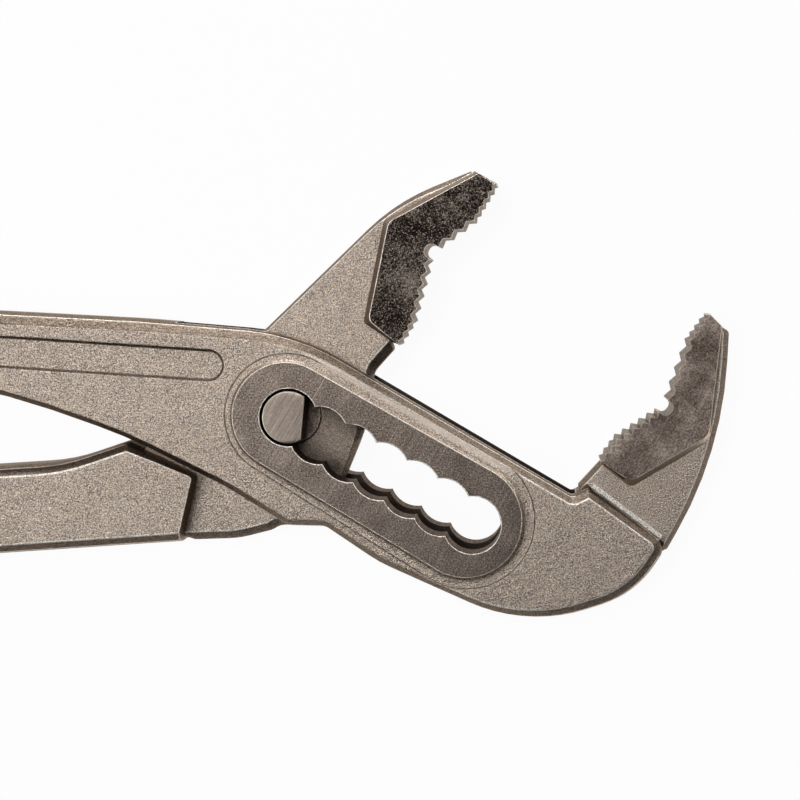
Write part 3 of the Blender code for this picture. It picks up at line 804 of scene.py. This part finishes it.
def boss_ring_tool(front):
    """Cutter for the fine line at the outer end of that step."""
    outline = even(stadium(*boss_centres(), *BOSS_LINE_RADII))
    face = BOX_THICKNESS / 2
    width, depth = BOSS_LINE_WIDTH, BOSS_LINE_DEPTH

    def ringed(name, curve):
        levels = [(face + depth * up, width * out) for up, out in curve]
        return stacked(name, outline, on_face(levels, front))

    ring = ringed("boss_ring_tool", BOSS_RING_CURVE)
    core = ringed("boss_ring_core", BOSS_CORE_CURVE)
    end = SLOT_ALONG * BOSS_LINE_GAP
    near, far = SLOT_ACROSS * BOSS_RADII[0], SLOT_ACROSS * 2 * BOSS_RADII[0]
    gap = stacked("boss_ring_gap", even([near, end + near, end + far, far]),
                  on_face([(face - 3 * depth, 0.0), (face + 3 * depth, 0.0)], front))
    return combined(ring, ("DIFFERENCE", core), ("DIFFERENCE", gap))


def panel_tool(front):
    """Cutter for the sunken panel along the handle, with a rounded rim."""
    start = PANEL_END - (PANEL_LENGTH - 2 * PANEL_HALF_WIDTH) * heading(PANEL_TURN)
    outline = even(stadium(start, PANEL_END, PANEL_HALF_WIDTH, PANEL_HALF_WIDTH))
    face = BOX_THICKNESS / 2
    levels = [
        (face - PANEL_DEPTH, PANEL_DRAFT + PANEL_EDGE),
        (face - PANEL_DEPTH + PANEL_EDGE * 0.3, PANEL_DRAFT + PANEL_EDGE * 0.2),
        (face - PANEL_DEPTH + PANEL_EDGE, PANEL_DRAFT),
        (face - PANEL_EDGE, PANEL_EDGE * 0.6),
        (face - PANEL_EDGE * 0.3, 0.0),
        (face, -PANEL_EDGE),
        (face + CUT_MARGIN, -PANEL_EDGE - CUT_MARGIN),
    ]
    return stacked("panel_tool", outline, on_face(levels, front))


def taper_tool(front):
    """Wedge that thins a handle towards its end on one face."""
    reach = 2 * HANDLE_LENGTH
    slope = HANDLE_TAPER / HANDLE_TAPER_LENGTH
    side = 1.0 if front else -1.0
    model = bmesh.new()
    bmesh.ops.create_cube(model, size=1.0)
    for corner in model.verts:
        back = HANDLE_LENGTH if corner.co.x < 0.0 else 0.0
        corner.co.x = HANDLE_TAPER_LENGTH - HANDLE_LENGTH - back
        corner.co.y *= reach
        inner = corner.co.z * side < 0.0
        rise = -slope * back if inner else BOX_THICKNESS
        corner.co.z = MID_HEIGHT + side * (BOX_THICKNESS / 2 + rise)
    return mesh_object("taper_tool", model)


def groove_ends():
    return [LAST_NOTCH + end for end in ROOT_GROOVE_ENDS]


def groove_tool(front):
    """Bar on its edge that cuts the V groove across the root of the fixed jaw."""
    first, second = groove_ends()
    run, across = run_axes(first, second)
    across *= ROOT_GROOVE_WIDTH / 2
    side = 1.0 if front else -1.0
    height = MID_HEIGHT + side * JAW_WEB_THICKNESS / 2
    model = bmesh.new()
    ends = []
    for end in (first - run * CUT_MARGIN, second + run * CUT_MARGIN):
        ends.append([
            model.verts.new((end.x - across.x, end.y - across.y, height)),
            model.verts.new((end.x, end.y, height - side * ROOT_GROOVE_DEPTH)),
            model.verts.new((end.x + across.x, end.y + across.y, height)),
            model.verts.new((end.x, end.y, height + side * ROOT_GROOVE_DEPTH)),
        ])
    model.faces.new(ends[0])
    model.faces.new(ends[1][::-1])
    for index in range(4):
        follow = (index + 1) % 4
        model.faces.new((ends[0][index], ends[0][follow], ends[1][follow], ends[1][index]))
    return mesh_object("groove_tool", model)


def bead_ends():
    """Ends of the small ridge that runs beside the groove."""
    first, second = groove_ends()
    run, across = run_axes(first, second)
    shift = across * ROOT_BEAD_OFFSET
    return first + shift, second + shift - run * ROOT_BEAD_WIDTH / 2


def root_bead(front):
    """Small rounded ridge beside the groove, on the web of the fixed jaw."""
    first, second = bead_ends()
    run, across = run_axes(first, second)
    half = across * ROOT_BEAD_WIDTH / 2
    corners = clockwise([first - half, first + half, second + half, second - half])
    outline = []
    for corner, follow in zip(corners, corners[1:] + corners[:1]):
        along = round((follow - corner).normalized().dot(run))
        outline.append((corner.x, corner.y, ROOT_BEAD_FILLET, ROOT_BEAD_DRAFTS[along]))
    web = JAW_WEB_THICKNESS / 2
    levels = [(web + ROOT_BEAD_HEIGHT * up, ROOT_BEAD_WIDTH * out) for up, out in ROOT_BEAD_CURVE]
    return stacked("root_bead_tool", outline, on_face(levels, front))


def slot_tool(finish):
    """Tool for the notched slot, with a flare that breaks its edges."""
    half = TOTAL_THICKNESS / 2
    notch = stacked("notch_tool", disc(NOTCH_RADIUS), both_faces([
        (half - SLOT_EDGE, 0.0),
        (half - SLOT_EDGE * RIM_ROUND, -SLOT_EDGE * RIM_ROUND),
        (half, -SLOT_EDGE),
        (half + CUT_MARGIN, -SLOT_EDGE - CUT_MARGIN),
    ]))
    step = SLOT_ALONG * SLOT_PITCH
    row = grown("slot_tool", notch_row_tree(), {
        "Notch Tool": notch,
        "Notches": SLOT_NOTCHES,
        "Step": (step.x, step.y, 0.0),
        "Finish": finish,
    })
    bpy.data.objects.remove(notch, do_unlink=True)
    return row


def make_slotted_leg(tooth_tree, finish):
    outline = SLOTTED_HANDLE + from_last_notch(SLOTTED_HEAD) + SLOTTED_BELLY
    leg = stacked("slotted_leg_forging", outline, forged_levels())
    web = stacked("fixed_web_tool", from_last_notch(FIXED_JAW_WEB), web_levels(JAW_WEB_THICKNESS))
    pad = toothed_pad("fixed_pad_tool", FIXED_JAW_FACE, from_last_notch(FIXED_JAW_PAD),
                      JAW_WEB_THICKNESS, tooth_tree, finish)
    mortise = stacked("mortise_tool", even(MORTISE_WINDOW), both_faces([(MORTISE_GAP / 2, 0.0)]))
    steps = [("DIFFERENCE", boss_line_tool(front)) for front in FRONT_AND_REAR]
    steps += [("UNION", boss(front)) for front in FRONT_AND_REAR]
    steps += [("DIFFERENCE", boss_ring_tool(front)) for front in FRONT_AND_REAR]
    steps += [("UNION", web), ("UNION", pad)]
    steps += [("DIFFERENCE", mortise), ("DIFFERENCE", slot_tool(finish))]
    for front in FRONT_AND_REAR:
        steps += [("DIFFERENCE", panel_tool(front)), ("DIFFERENCE", groove_tool(front))]
        steps += [("UNION", root_bead(front)), ("DIFFERENCE", taper_tool(front))]
    return combined(leg, *steps)


def shoulder_corners():
    """Corners of the inner leg's shoulder, set off from the slotted leg's lower edge."""
    edge = (STOP_EDGE_INNER - STOP_EDGE_OUTER).normalized()
    away = Vector((edge.y, -edge.x))
    corners = []
    for x, gap, radius, draft in SHOULDER_STATIONS:
        point = STOP_EDGE_INNER + away * gap
        point += edge * (x - point.x) / edge.x
        corners.append((point.x, point.y, radius, draft))
    return corners


def make_inner_leg(tooth_tree, finish):
    outline = INNER_HANDLE_TOP + shoulder_corners() + INNER_HANDLE_BOTTOM
    leg = stacked("inner_leg_forging", outline, forged_levels())
    tongue = stacked("tongue_tool", TONGUE, web_levels(TONGUE_THICKNESS))
    pad = toothed_pad("moving_pad_tool", MOVING_JAW_FACE, MOVING_JAW_PAD,
                      TONGUE_THICKNESS, tooth_tree, finish)
    half = TONGUE_THICKNESS / 2
    flare = PIN_SEAT_CHAMFER + CUT_MARGIN
    levels = [(half - PIN_SEAT_CHAMFER, 0.0), (half + CUT_MARGIN, -flare)]
    hole = stacked("seat_tool", disc(PIN_SEAT_RADIUS), both_faces(levels))
    steps = [("UNION", tongue), ("UNION", pad), ("DIFFERENCE", hole)]
    steps += [("DIFFERENCE", taper_tool(front)) for front in FRONT_AND_REAR]
    return combined(leg, *steps)


def make_pivot_pin():
    """Round pin with a flat on each end and a wider collar seated in the tongue."""
    flat_angle = math.acos(PIN_FLAT_OFFSET / PIN_RADIUS)
    turned = arc(CENTRE, PIN_RADIUS, flat_angle + PIN_FLAT_TURN,
                 2 * math.pi - flat_angle + PIN_FLAT_TURN)
    corners = [(p.x, p.y, 0.0, 1.0) for p in turned]
    for end in (0, -1):
        corners[end] = (*corners[end][:2], PIN_CORNER_RADIUS, 1.0)
    corners.reverse()
    outline = even(rounded(corners, fillet_counts(corners)))
    pin = stacked("pivot_pin_turned", outline, both_faces(rim(TOTAL_THICKNESS / 2, PIN_EDGE)))
    half = TONGUE_THICKNESS / 2 - PIN_COLLAR_SINK
    collar = stacked("collar_tool", disc(PIN_COLLAR_RADIUS), both_faces(rim(half, PIN_EDGE)))
    return combined(pin, ("UNION", collar))


def smoothed(piece):
    """Soft shading on rounded edges, flat shading on flat faces and sharp real corners."""
    model = bmesh.new()
    model.from_mesh(piece.data)
    bmesh.ops.remove_doubles(model, verts=model.verts, dist=WELD)
    bmesh.ops.dissolve_degenerate(model, dist=WELD, edges=model.edges)
    bmesh.ops.triangulate(model, faces=[f for f in model.faces if len(f.verts) > 4])
    model.to_mesh(piece.data)
    model.free()
    for face in piece.data.polygons:
        face.use_smooth = True
    piece.data.set_sharp_from_angle(angle=SHARP_ANGLE)
    weigh = piece.modifiers.new("weighted", "WEIGHTED_NORMAL")
    weigh.keep_sharp = True
    return settled(piece)


def off_segment(point, first, second):
    """Distance in plan from a point to the segment between two points."""
    run = second - first
    share = max(0.0, min(1.0, (point - first).dot(run) / run.length_squared))
    return (point - first - run * share).length


def on_jaw_face(point, face):
    """True where a point in plan lies in the strip of a jaw's teeth and throat."""
    along, inward = jaw_axes(face)
    offset = point - face["start"]
    near, far = JAW_STRIP_ALONG
    low, high = JAW_STRIP_DEPTH
    return near < offset.dot(along) < face["length"] + far and low < offset.dot(inward) < high


def zone_of(polygon, slotted, face):
    """Name of the finish on a face of a leg, from its height, slope and place."""
    level = abs(polygon.normal.z)
    flat = level > LEVEL_FLAT
    height = abs(polygon.center.z - MID_HEIGHT)
    plan = Vector((polygon.center.x, polygon.center.y))
    top = TOTAL_THICKNESS / 2
    box = BOX_THICKNESS / 2
    pad = JAW_PAD_THICKNESS / 2
    web = (JAW_WEB_THICKNESS if slotted else TONGUE_THICKNESS) / 2
    reach = plan - face["start"]
    by_boss = off_segment(plan, *boss_centres()) < BOSS_LINE_RADII[1]
    if flat and height > top - HEIGHT_SLACK:
        return "ground"
    if flat and abs(height - pad) < HEIGHT_SLACK and reach.length < PAD_REACH:
        return "pad"
    if level < LEVEL_WALL and on_jaw_face(plan, face):
        return "tooth"
    by_slot = off_segment(plan, CENTRE, LAST_NOTCH) < NOTCH_RADIUS + SLOT_WALL_SLACK
    # Walls by the slot take the dark slot wall finish on the slotted leg and the darker side finish
    # on the inner leg, both painted shade
    if by_slot and level < LEVEL_WALL:
        return "milled" if slotted else "side"
    # Flat faces inside the mortise take the near-black window finish, painted shadow in the gap
    if slotted and flat and height < MORTISE_GAP / 2 + HEIGHT_SLACK:
        return "window"
    by_bead = off_segment(plan, *bead_ends()) < ROOT_BEAD_WIDTH * BEAD_SPREAD
    # The ridge beside the groove takes the bright rim finish, a painted highlight along its crest
    if slotted and by_bead and height > web + BEAD_SLACK:
        return "edge"
    by_groove = off_segment(plan, *groove_ends()) < ROOT_GROOVE_WIDTH
    # Faces in the groove take its dark finish, painted shade
    if slotted and by_groove and level < LEVEL_FLAT and height < GROOVE_TOP:
        return "groove"
    # Boss coves: the slotted leg's own cove finish, on the inner leg the darker side finish,
    # painted shade
    if by_boss and level < LEVEL_COVE and box - COVE_SLACK < height < top - BOSS_EDGE:
        return "cove" if slotted else "side"
    # The tongue's slopes inside the box take the darker side finish, painted shade
    if not slotted and level < LEVEL_FLAT and abs(plan.dot(SLOT_ACROSS)) < TONGUE_SIDE_SPREAD:
        return "side"
    # Rims at face edges take the bright rim finish, worn plating and a painted highlight; on the
    # slotted leg the box rim only towards the jaw
    rims = [top, pad, web]
    if not by_boss and (not slotted or plan.dot(SLOT_ALONG) > LAST_NOTCH.length):
        rims.append(box)
    low, high = LEVEL_RIM
    if low < level < high and any(0.0 < edge - height < RIM_DEPTH for edge in rims):
        return "edge"
    # Pad walls take the wall finish, a much lighter one on the fixed jaw, painted light
    if reach.dot(heading(face["turn"])) > -JAW_LEAD and level < LEVEL_SIDE and web < height < pad:
        return "wall"
    # Sloped sides take the darker side finish, painted shade; level faces the satin nickel
    return "side" if level < LEVEL_SIDE else "forged"


def zoned(piece, finishes, slotted, face):
    """Give each face of a leg the finish of its zone."""
    names = list(finishes)
    piece.data.materials.clear()
    for name in names:
        piece.data.materials.append(finishes[name])
    for polygon in piece.data.polygons:
        polygon.material_index = names.index(zone_of(polygon, slotted, face))
    return piece


def new_material(name):
    material = bpy.data.materials.new(name)
    material.use_nodes = True
    return material, material.node_tree


def new_metal(name):
    """Material, its tree and the object coordinates that its patterns read."""
    material, tree = new_material(name)
    return material, tree, tree.nodes.new("ShaderNodeTexCoord").outputs["Object"]


def finished(material, colour, rough, normal, glance=(1.0, 1.0, 1.0)):
    """Metal with a colour, roughness and relief. Glance tints what is seen almost edge on."""
    tree = material.node_tree
    shader = tree.nodes["Principled BSDF"].inputs
    shader["Metallic"].default_value = 1.0
    shader["Specular Tint"].default_value = (*glance, 1.0)
    for name, value in (("Base Color", colour), ("Roughness", rough), ("Normal", normal)):
        tree.links.new(value, shader[name])
    return material


def noise(tree, place, scale, detail, roughness=0.5):
    node = wired(tree, "ShaderNodeTexNoise", {
        "Vector": place,
        "Scale": scale,
        "Detail": detail,
        "Roughness": roughness,
    })
    return node.outputs["Fac"]


def ramp(tree, value, *stops):
    """Colour ramp through stops of position and linear colour."""
    node = wired(tree, "ShaderNodeValToRGB", {0: value})
    elements = node.color_ramp.elements
    while len(elements) < len(stops):
        elements.new(0.5)
    for element, (position, colour) in zip(elements, stops):
        element.position = position
        element.color = (*colour, 1.0)
    return node.outputs["Color"]


def spread(tree, value, low, high, to_low, to_high):
    """Map a value from one range to another, clamped."""
    node = wired(tree, "ShaderNodeMapRange", {
        "Value": value,
        "From Min": low,
        "From Max": high,
        "To Min": to_low,
        "To Max": to_high,
    })
    return node.outputs["Result"]


def mixed(tree, share, first, second, blend="MIX"):
    node = wired(tree, "ShaderNodeMix", {"Factor": share, 6: first, 7: second},
                 data_type="RGBA", blend_type=blend)
    return node.outputs[2]


def corner_share(tree, distance, inside):
    """How close a point is to an edge of its own piece, or inside a hollow, from 0 to 1."""
    node = wired(tree, "ShaderNodeAmbientOcclusion", {"Distance": distance},
                 samples=OCCLUSION_SAMPLES, inside=inside, only_local=True)
    return math_node(tree, "SUBTRACT", 1.0, node.outputs["AO"])


def edge_wear_and_highlight(tree, distance, low, high, share):
    """Share of brightening on outer edges, between two closenesses: worn metal and a painted
    highlight.
    """
    return spread(tree, corner_share(tree, distance, True), low, high, 0.0, share)


def painted_hollow_shade(tree, distance, low, high, share):
    """Share of painted shade in hollows and creases, between two depths."""
    return spread(tree, corner_share(tree, distance, False), low, high, 0.0, share)


def blended(tree, first, share, second):
    """One value by its share and another by the rest."""
    rest = math_node(tree, "MULTIPLY", second, 1.0 - share)
    return math_node(tree, "MULTIPLY_ADD", first, share, rest)


def bumped(tree, *layers):
    """Chain of bumps from layers of height, strength and depth."""
    normal = None
    for height, strength, depth in layers:
        inputs = {"Height": height, "Strength": strength, "Distance": depth}
        if normal is not None:
            inputs["Normal"] = normal
        normal = wired(tree, "ShaderNodeBump", inputs).outputs["Normal"]
    return normal


def along_lines(tree, place, degrees, length, width):
    """Coordinates for marks of a length and width that run at an angle in plan."""
    return wired(tree, "ShaderNodeMapping", {
        "Vector": place,
        "Rotation": (0.0, 0.0, math.radians(degrees)),
        "Scale": (length, width, MARK_DEPTH),
    }, vector_type="TEXTURE").outputs["Vector"]


def slot_band(tree, place, edges, share):
    """Share of a finish in a band along the slot, from its four edges across the slot."""
    across, along = (
        wired(tree, "ShaderNodeVectorMath", {0: place, 1: (*axis, 0.0)},
              operation="DOT_PRODUCT").outputs["Value"] for axis in (SLOT_ACROSS, SLOT_ALONG))
    mask = spread(tree, across, edges[0], edges[1], 0.0, share)
    fades = [(across, edges[3], edges[2])] + [(along, *ends) for ends in BAND_ENDS]
    for value, low, high in fades:
        mask = math_node(tree, "MULTIPLY", mask, spread(tree, value, low, high, 0.0, 1.0))
    return mask


def forged_satin(name, relief, base, painted_glint_share, hollow_shade=1.0, bands=()):
    """Blasted and nickel plated forging: fine grain with painted glints, soft mottling, and edges
    brightened both as worn plating and as a painted highlight.

    A brown and a dark painted shade darken hollows and creases, scaled by the hollow share.
    Bands hold edges, share and colour of strips painted along the slot: a painted highlight on
    the slotted leg, painted shade on the inner leg.
    """
    material, tree, place = new_metal(name)
    grain = noise(tree, place, SATIN_GRAIN, 3.0, 0.62)
    sparkle = noise(tree, place, SATIN_SPARKLE, 1.0)
    tone = blended(tree, noise(tree, place, SATIN_FINE, 2.0, 0.6), 0.6, grain)
    dark, middle, light = (
        [channel * share for channel, share in zip(base, shares)] for shares in SATIN_SHARES)
    colour = ramp(tree, tone, (0.41, dark), (0.5, middle), (0.59, light))
    mottle = spread(tree, noise(tree, place, SATIN_MOTTLE, 4.0, 0.6), 0.3, 0.7, 0.92, 1.08)
    colour = mixed(tree, 1.0, colour, mottle, "MULTIPLY")
    # Painted glints: near-white specks where the sparkle noise peaks; the roughness below also
    # drops there
    colour = mixed(tree, spread(tree, sparkle, 0.60, 0.70, 0.0, painted_glint_share), colour, PAINTED_GLINT)
    # Painted strips along the slot: a highlight on the slotted leg, shade on the inner leg
    for edges, share, tint in bands:
        colour = mixed(tree, slot_band(tree, place, edges, share), colour, (*tint, 1.0))
    # Painted shade in hollows and creases: a broad brown one, and a dark one at the foot of walls
    colour = mixed(tree, painted_hollow_shade(tree, 0.0030, 0.20, 0.50, 0.65 * hollow_shade), colour, PAINTED_SHADE_BROWN)
    colour = mixed(tree, painted_hollow_shade(tree, 0.0009, 0.22, 0.60, 0.75 * hollow_shade), colour, PAINTED_CREASE_SHADE)
    broken = spread(tree, grain, 0.42, 0.58, 0.1, 1.0)
    # Worn plating and a painted highlight on outer edges, broken up by the grain
    wear_and_highlight = math_node(tree, "MULTIPLY", edge_wear_and_highlight(tree, 0.0005, 0.07, 0.30, 0.85), broken)
    colour = mixed(tree, wear_and_highlight, colour, WORN_AND_HIGHLIGHT_NICKEL)
    rough = spread(tree, sparkle, 0.3, 0.7, 0.50, 0.34)
    swell = noise(tree, place, SATIN_SWELL, 2.0)
    normal = bumped(tree, (swell, 0.6, 0.00025), (grain, 1.0, relief))
    return finished(material, colour, rough, normal, SATIN_GLANCE)


def ground_steel(name, tones, blotch_scale, blotch_share, specks):
    """Ground or wiped steel: mottled tone, fine light specks and faint scratches."""
    material, tree, place = new_metal(name)
    grain = noise(tree, place, GROUND_GRAIN, 3.0, 0.65)
    tone = blended(tree, noise(tree, place, blotch_scale, 4.0, 0.55), blotch_share, grain)
    dark, middle, light = tones
    colour = ramp(tree, tone, (0.38, dark), (0.5, middle), (0.62, light))
    speck = spread(tree, noise(tree, place, GROUND_SPECK, 1.0), 0.60, 0.70, 0.0, specks)
    colour = mixed(tree, speck, colour, SPECK)
    lines = noise(tree, along_lines(tree, place, 62.0, 0.012, 0.0003), 1.0, 2.0)
    colour = mixed(tree, 1.0, colour, spread(tree, lines, 0.3, 0.7, 0.82, 1.18), "MULTIPLY")
    scratch = noise(tree, along_lines(tree, place, 60.0, 0.018, 0.00022), 1.0, 0.0)
    colour = mixed(tree, spread(tree, scratch, 0.80, 0.83, 0.0, 0.5), colour, SCRATCH)
    # Edges brightened as wear and as a painted highlight
    colour = mixed(tree, edge_wear_and_highlight(tree, 0.0003, 0.15, 0.45, 0.7), colour, WORN_AND_HIGHLIGHT_STEEL)
    rough = spread(tree, grain, 0.3, 0.7, 0.62, 0.48)
    normal = bumped(tree, (lines, 0.15, 0.00006), (grain, 0.4, 0.00008))
    return finished(material, colour, rough, normal)


def milled_steel(name, dark, light, glance, wear_and_highlight=0.0):
    """Cut steel of slot walls, tooth walls and the window: upright tool marks, edges brightened as
    wear and as a painted highlight.
    """
    material, tree, place = new_metal(name)
    stretched = wired(tree, "ShaderNodeMapping", {"Vector": place, "Scale": CUT_MARKS})
    marks = noise(tree, stretched.outputs["Vector"], 1.0, 3.0, 0.6)
    tone = blended(tree, marks, 0.5, noise(tree, place, CUT_GRAIN, 3.0, 0.6))
    colour = ramp(tree, tone, (0.3, dark), (0.7, light))
    # Edges brightened as wear and as a painted highlight, where asked
    if wear_and_highlight:
        colour = mixed(tree, edge_wear_and_highlight(tree, 0.0003, 0.2, 0.5, wear_and_highlight), colour, WORN_AND_HIGHLIGHT_STEEL)
    rough = spread(tree, marks, 0.3, 0.7, 0.5, 0.36)
    return finished(material, colour, rough, bumped(tree, (marks, 0.3, 0.00008)), glance)


def brushed_pin():
    """Pin steel, ground across its end in one direction."""
    material, tree, place = new_metal("brushed_pin_steel")
    lines = noise(tree, along_lines(tree, place, 58.0, 0.006, 0.00022), 1.0, 3.0, 0.6)
    tone = blended(tree, lines, 0.75, noise(tree, place, CUT_GRAIN, 2.0))
    colour = ramp(tree, tone, *zip((0.3, 0.52, 0.75), PIN_TONES))
    # Edges brightened as wear and as a painted highlight
    colour = mixed(tree, edge_wear_and_highlight(tree, 0.0004, 0.1, 0.32, 0.7), colour, WORN_AND_HIGHLIGHT_PIN)
    rough = spread(tree, lines, 0.3, 0.7, 0.44, 0.30)
    return finished(material, colour, rough, bumped(tree, (lines, 0.3, 0.00006)))


def mount(piece, node, body):
    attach(piece, body)
    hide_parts(node)


def make_finishes():
    """Finishes that both legs share, those of the slotted leg and those of the inner leg."""
    shared = {
        "ground": ground_steel(
            "ground_boss_steel", blotch_scale=150.0, blotch_share=0.2, specks=0.3,
            tones=((0.088, 0.070, 0.058), (0.18, 0.147, 0.125), (0.36, 0.308, 0.267))),
        # Painted shade: the slot walls and the pin's side get very dark tones and a dim edge-on
        # tint, standing in for the shade inside the slot
        "milled": milled_steel(
            "shaded_slot_wall_steel", dark=(0.037, 0.029, 0.0245), light=(0.17, 0.138, 0.119),
            glance=(0.68, 0.59, 0.53)),
        # Painted shadow: the window faces deep in the mortise gap are near black, with a dim
        # edge-on tint
        "window": milled_steel(
            "shadow_dark_window_steel", dark=(0.058, 0.044, 0.036), light=(0.13, 0.104, 0.086),
            glance=(0.28, 0.22, 0.18)),
        "tooth": milled_steel(
            "cut_tooth_steel", dark=(0.06, 0.048, 0.039), light=(0.18, 0.149, 0.125),
            glance=(1.0, 0.91, 0.82), wear_and_highlight=0.8),
        # Painted shade: a darker copy of the satin nickel for sloped sides, the tongue inside the
        # box and the inner leg's walls by the slot and boss
        "side": forged_satin(
            "shaded_side_nickel", relief=0.00004, base=(0.17, 0.137, 0.110), painted_glint_share=0.08),
        "cove": forged_satin(
            "boss_cove_nickel", relief=0.00006, base=(0.42, 0.352, 0.293), painted_glint_share=0.2),
        # Painted highlight with worn plating: near-white nickel on rims and the root ridge
        "edge": forged_satin(
            "worn_and_highlight_rim_nickel", relief=0.0002, base=(0.93, 0.84, 0.74), painted_glint_share=0.9, hollow_shade=0.4),
        # Painted shade: a dark copy of the satin nickel in the V groove at the jaw's root
        "groove": forged_satin(
            "shaded_root_groove_nickel", relief=0.00005, base=(0.13, 0.102, 0.081), painted_glint_share=0.1, hollow_shade=0.3),
    }
    fixed = {
        "forged": forged_satin(
            "forged_satin_nickel", relief=0.00025, base=SATIN_NICKEL, painted_glint_share=0.95,
            # Painted highlight: a light strip along the box's top edge beside the slot
            bands=[((0.0128, 0.0134, 0.0146, 0.0152), 0.6, (0.85, 0.77, 0.68))]),
        "pad": ground_steel(
            "fixed_pad_steel", blotch_scale=120.0, blotch_share=0.5, specks=0.5,
            tones=((0.075, 0.058, 0.047), (0.25, 0.199, 0.166), (0.62, 0.53, 0.46))),
        # Painted light: the fixed jaw's pad walls are a much lighter copy of the moving jaw's wall
        # steel, standing in for the light they catch
        "wall": milled_steel(
            "lit_fixed_wall_steel", dark=(0.45, 0.365, 0.29), light=(0.85, 0.70, 0.57),
            glance=(0.90, 0.77, 0.65)),
    }
    moving = {
        "forged": forged_satin(
            "slot_shaded_satin_nickel", relief=0.00025, base=SATIN_NICKEL, painted_glint_share=0.95, bands=[
                # Painted shade: the tongue darkened where it lies inside the box, and darker still
                # near the slot's rims
                ((-0.0125, -0.0085, 0.0085, 0.0125), 0.6, (0.13, 0.100, 0.079)),
                ((-0.0105, -0.0075, -0.0055, -0.0015), 0.6, SLOT_RIM_SHADE),
                ((0.0015, 0.0055, 0.0075, 0.0105), 0.6, SLOT_RIM_SHADE)]),
        "pad": ground_steel(
            "moving_pad_steel", blotch_scale=130.0, blotch_share=0.4, specks=0.6,
            tones=((0.005, 0.004, 0.003), (0.017, 0.0125, 0.010), (0.20, 0.165, 0.14))),
        "wall": milled_steel(
            "moving_wall_steel", dark=(0.14, 0.112, 0.09), light=(0.34, 0.282, 0.233),
            glance=(0.80, 0.70, 0.60)),
    }
    return shared, fixed, moving


def make_pieces():
    shared, fixed, moving = make_finishes()
    tooth_tree = tooth_row_tree()
    slotted = smoothed(make_slotted_leg(tooth_tree, shared["tooth"]))
    zoned(slotted, {**fixed, **shared}, True, FIXED_JAW_FACE)
    mount(slotted, "slotted_leg", "slotted_leg")
    inner = smoothed(make_inner_leg(tooth_tree, shared["tooth"]))
    zoned(inner, {**moving, **shared}, False, MOVING_JAW_FACE)
    mount(inner, "inner_leg", "inner_leg")
    pin = smoothed(make_pivot_pin())
    pin.data.materials.clear()
    for finish in (brushed_pin(), shared["milled"], moving["forged"]):
        pin.data.materials.append(finish)
    for polygon in pin.data.polygons:
        height = abs(polygon.center.z - MID_HEIGHT)
        # Pin walls take the dark slot wall finish, painted shade; flat faces below the ends take
        # the inner leg's satin nickel
        side = 2 if abs(polygon.normal.z) > LEVEL_SIDE else 1
        polygon.material_index = 0 if height > TOTAL_THICKNESS / 2 - PIN_EDGE else side
    mount(pin, "pivot_pin", "pivot_pin")


def lamp(name, place, aim, size, watts, colour):
    data = bpy.data.lights.new(name, "AREA")
    data.shape = "RECTANGLE"
    data.size, data.size_y = size
    data.energy = watts
    data.color = colour
    made = bpy.data.objects.new(name, data)
    made.location = place
    made.rotation_euler = (Vector(aim) - Vector(place)).to_track_quat("-Z", "Y").to_euler()
    bpy.context.scene.collection.objects.link(made)


def make_floor():
    model = bmesh.new()
    bmesh.ops.create_grid(model, x_segments=1, y_segments=1, size=FLOOR_REACH)
    floor = mesh_object("studio_floor", model)
    material, tree = new_material("pale_floor")
    shader = tree.nodes["Principled BSDF"]
    shader.inputs["Base Color"].default_value = (0.95, 0.95, 0.95, 1.0)
    shader.inputs["Roughness"].default_value = 0.9
    path = tree.nodes.new("ShaderNodeLightPath").outputs
    seen = math_node(tree, "MAXIMUM", path["Is Camera Ray"], path["Is Glossy Ray"])
    seen = math_node(tree, "MAXIMUM", seen, path["Is Transmission Ray"])
    glow = wired(tree, "ShaderNodeEmission", {"Strength": 1.0})
    blend = wired(tree, "ShaderNodeMixShader", {
        0: math_node(tree, "MULTIPLY", seen, FLOOR_GLOW),
        1: shader.outputs["BSDF"],
        2: glow.outputs["Emission"],
    })
    tree.links.new(blend.outputs["Shader"], tree.nodes["Material Output"].inputs["Surface"])
    floor.data.materials.append(material)


def make_camera():
    data = bpy.data.cameras.new("photo_camera")
    data.sensor_width = 36.0
    data.lens = 50.76
    data.shift_x = -0.18125
    data.shift_y = -0.13375
    data.clip_start = 0.01
    camera = bpy.data.objects.new("photo_camera", data)
    camera.location = (0.05468, 0.02649, 0.254)
    bpy.context.scene.collection.objects.link(camera)
    bpy.context.scene.camera = camera


def make_light():
    """Soft room that is brightest overhead and behind the tool, and the lamps."""
    world = bpy.data.worlds.new("studio")
    world.use_nodes = True
    tree = world.node_tree
    outward = tree.nodes.new("ShaderNodeTexCoord").outputs["Generated"]
    toward = wired(tree, "ShaderNodeVectorMath", {0: outward, 1: SKY_AXIS}, operation="DOT_PRODUCT")
    sky = ramp(tree, toward.outputs["Value"], *SKY_TONES)
    tree.links.new(sky, tree.nodes["Background"].inputs["Color"])
    bpy.context.scene.world = world
    for name, settings in LAMPS.items():
        lamp(name, *settings)


bpy.context.scene.view_settings.view_transform = "Standard"
make_pieces()
make_floor()
make_camera()
make_light()
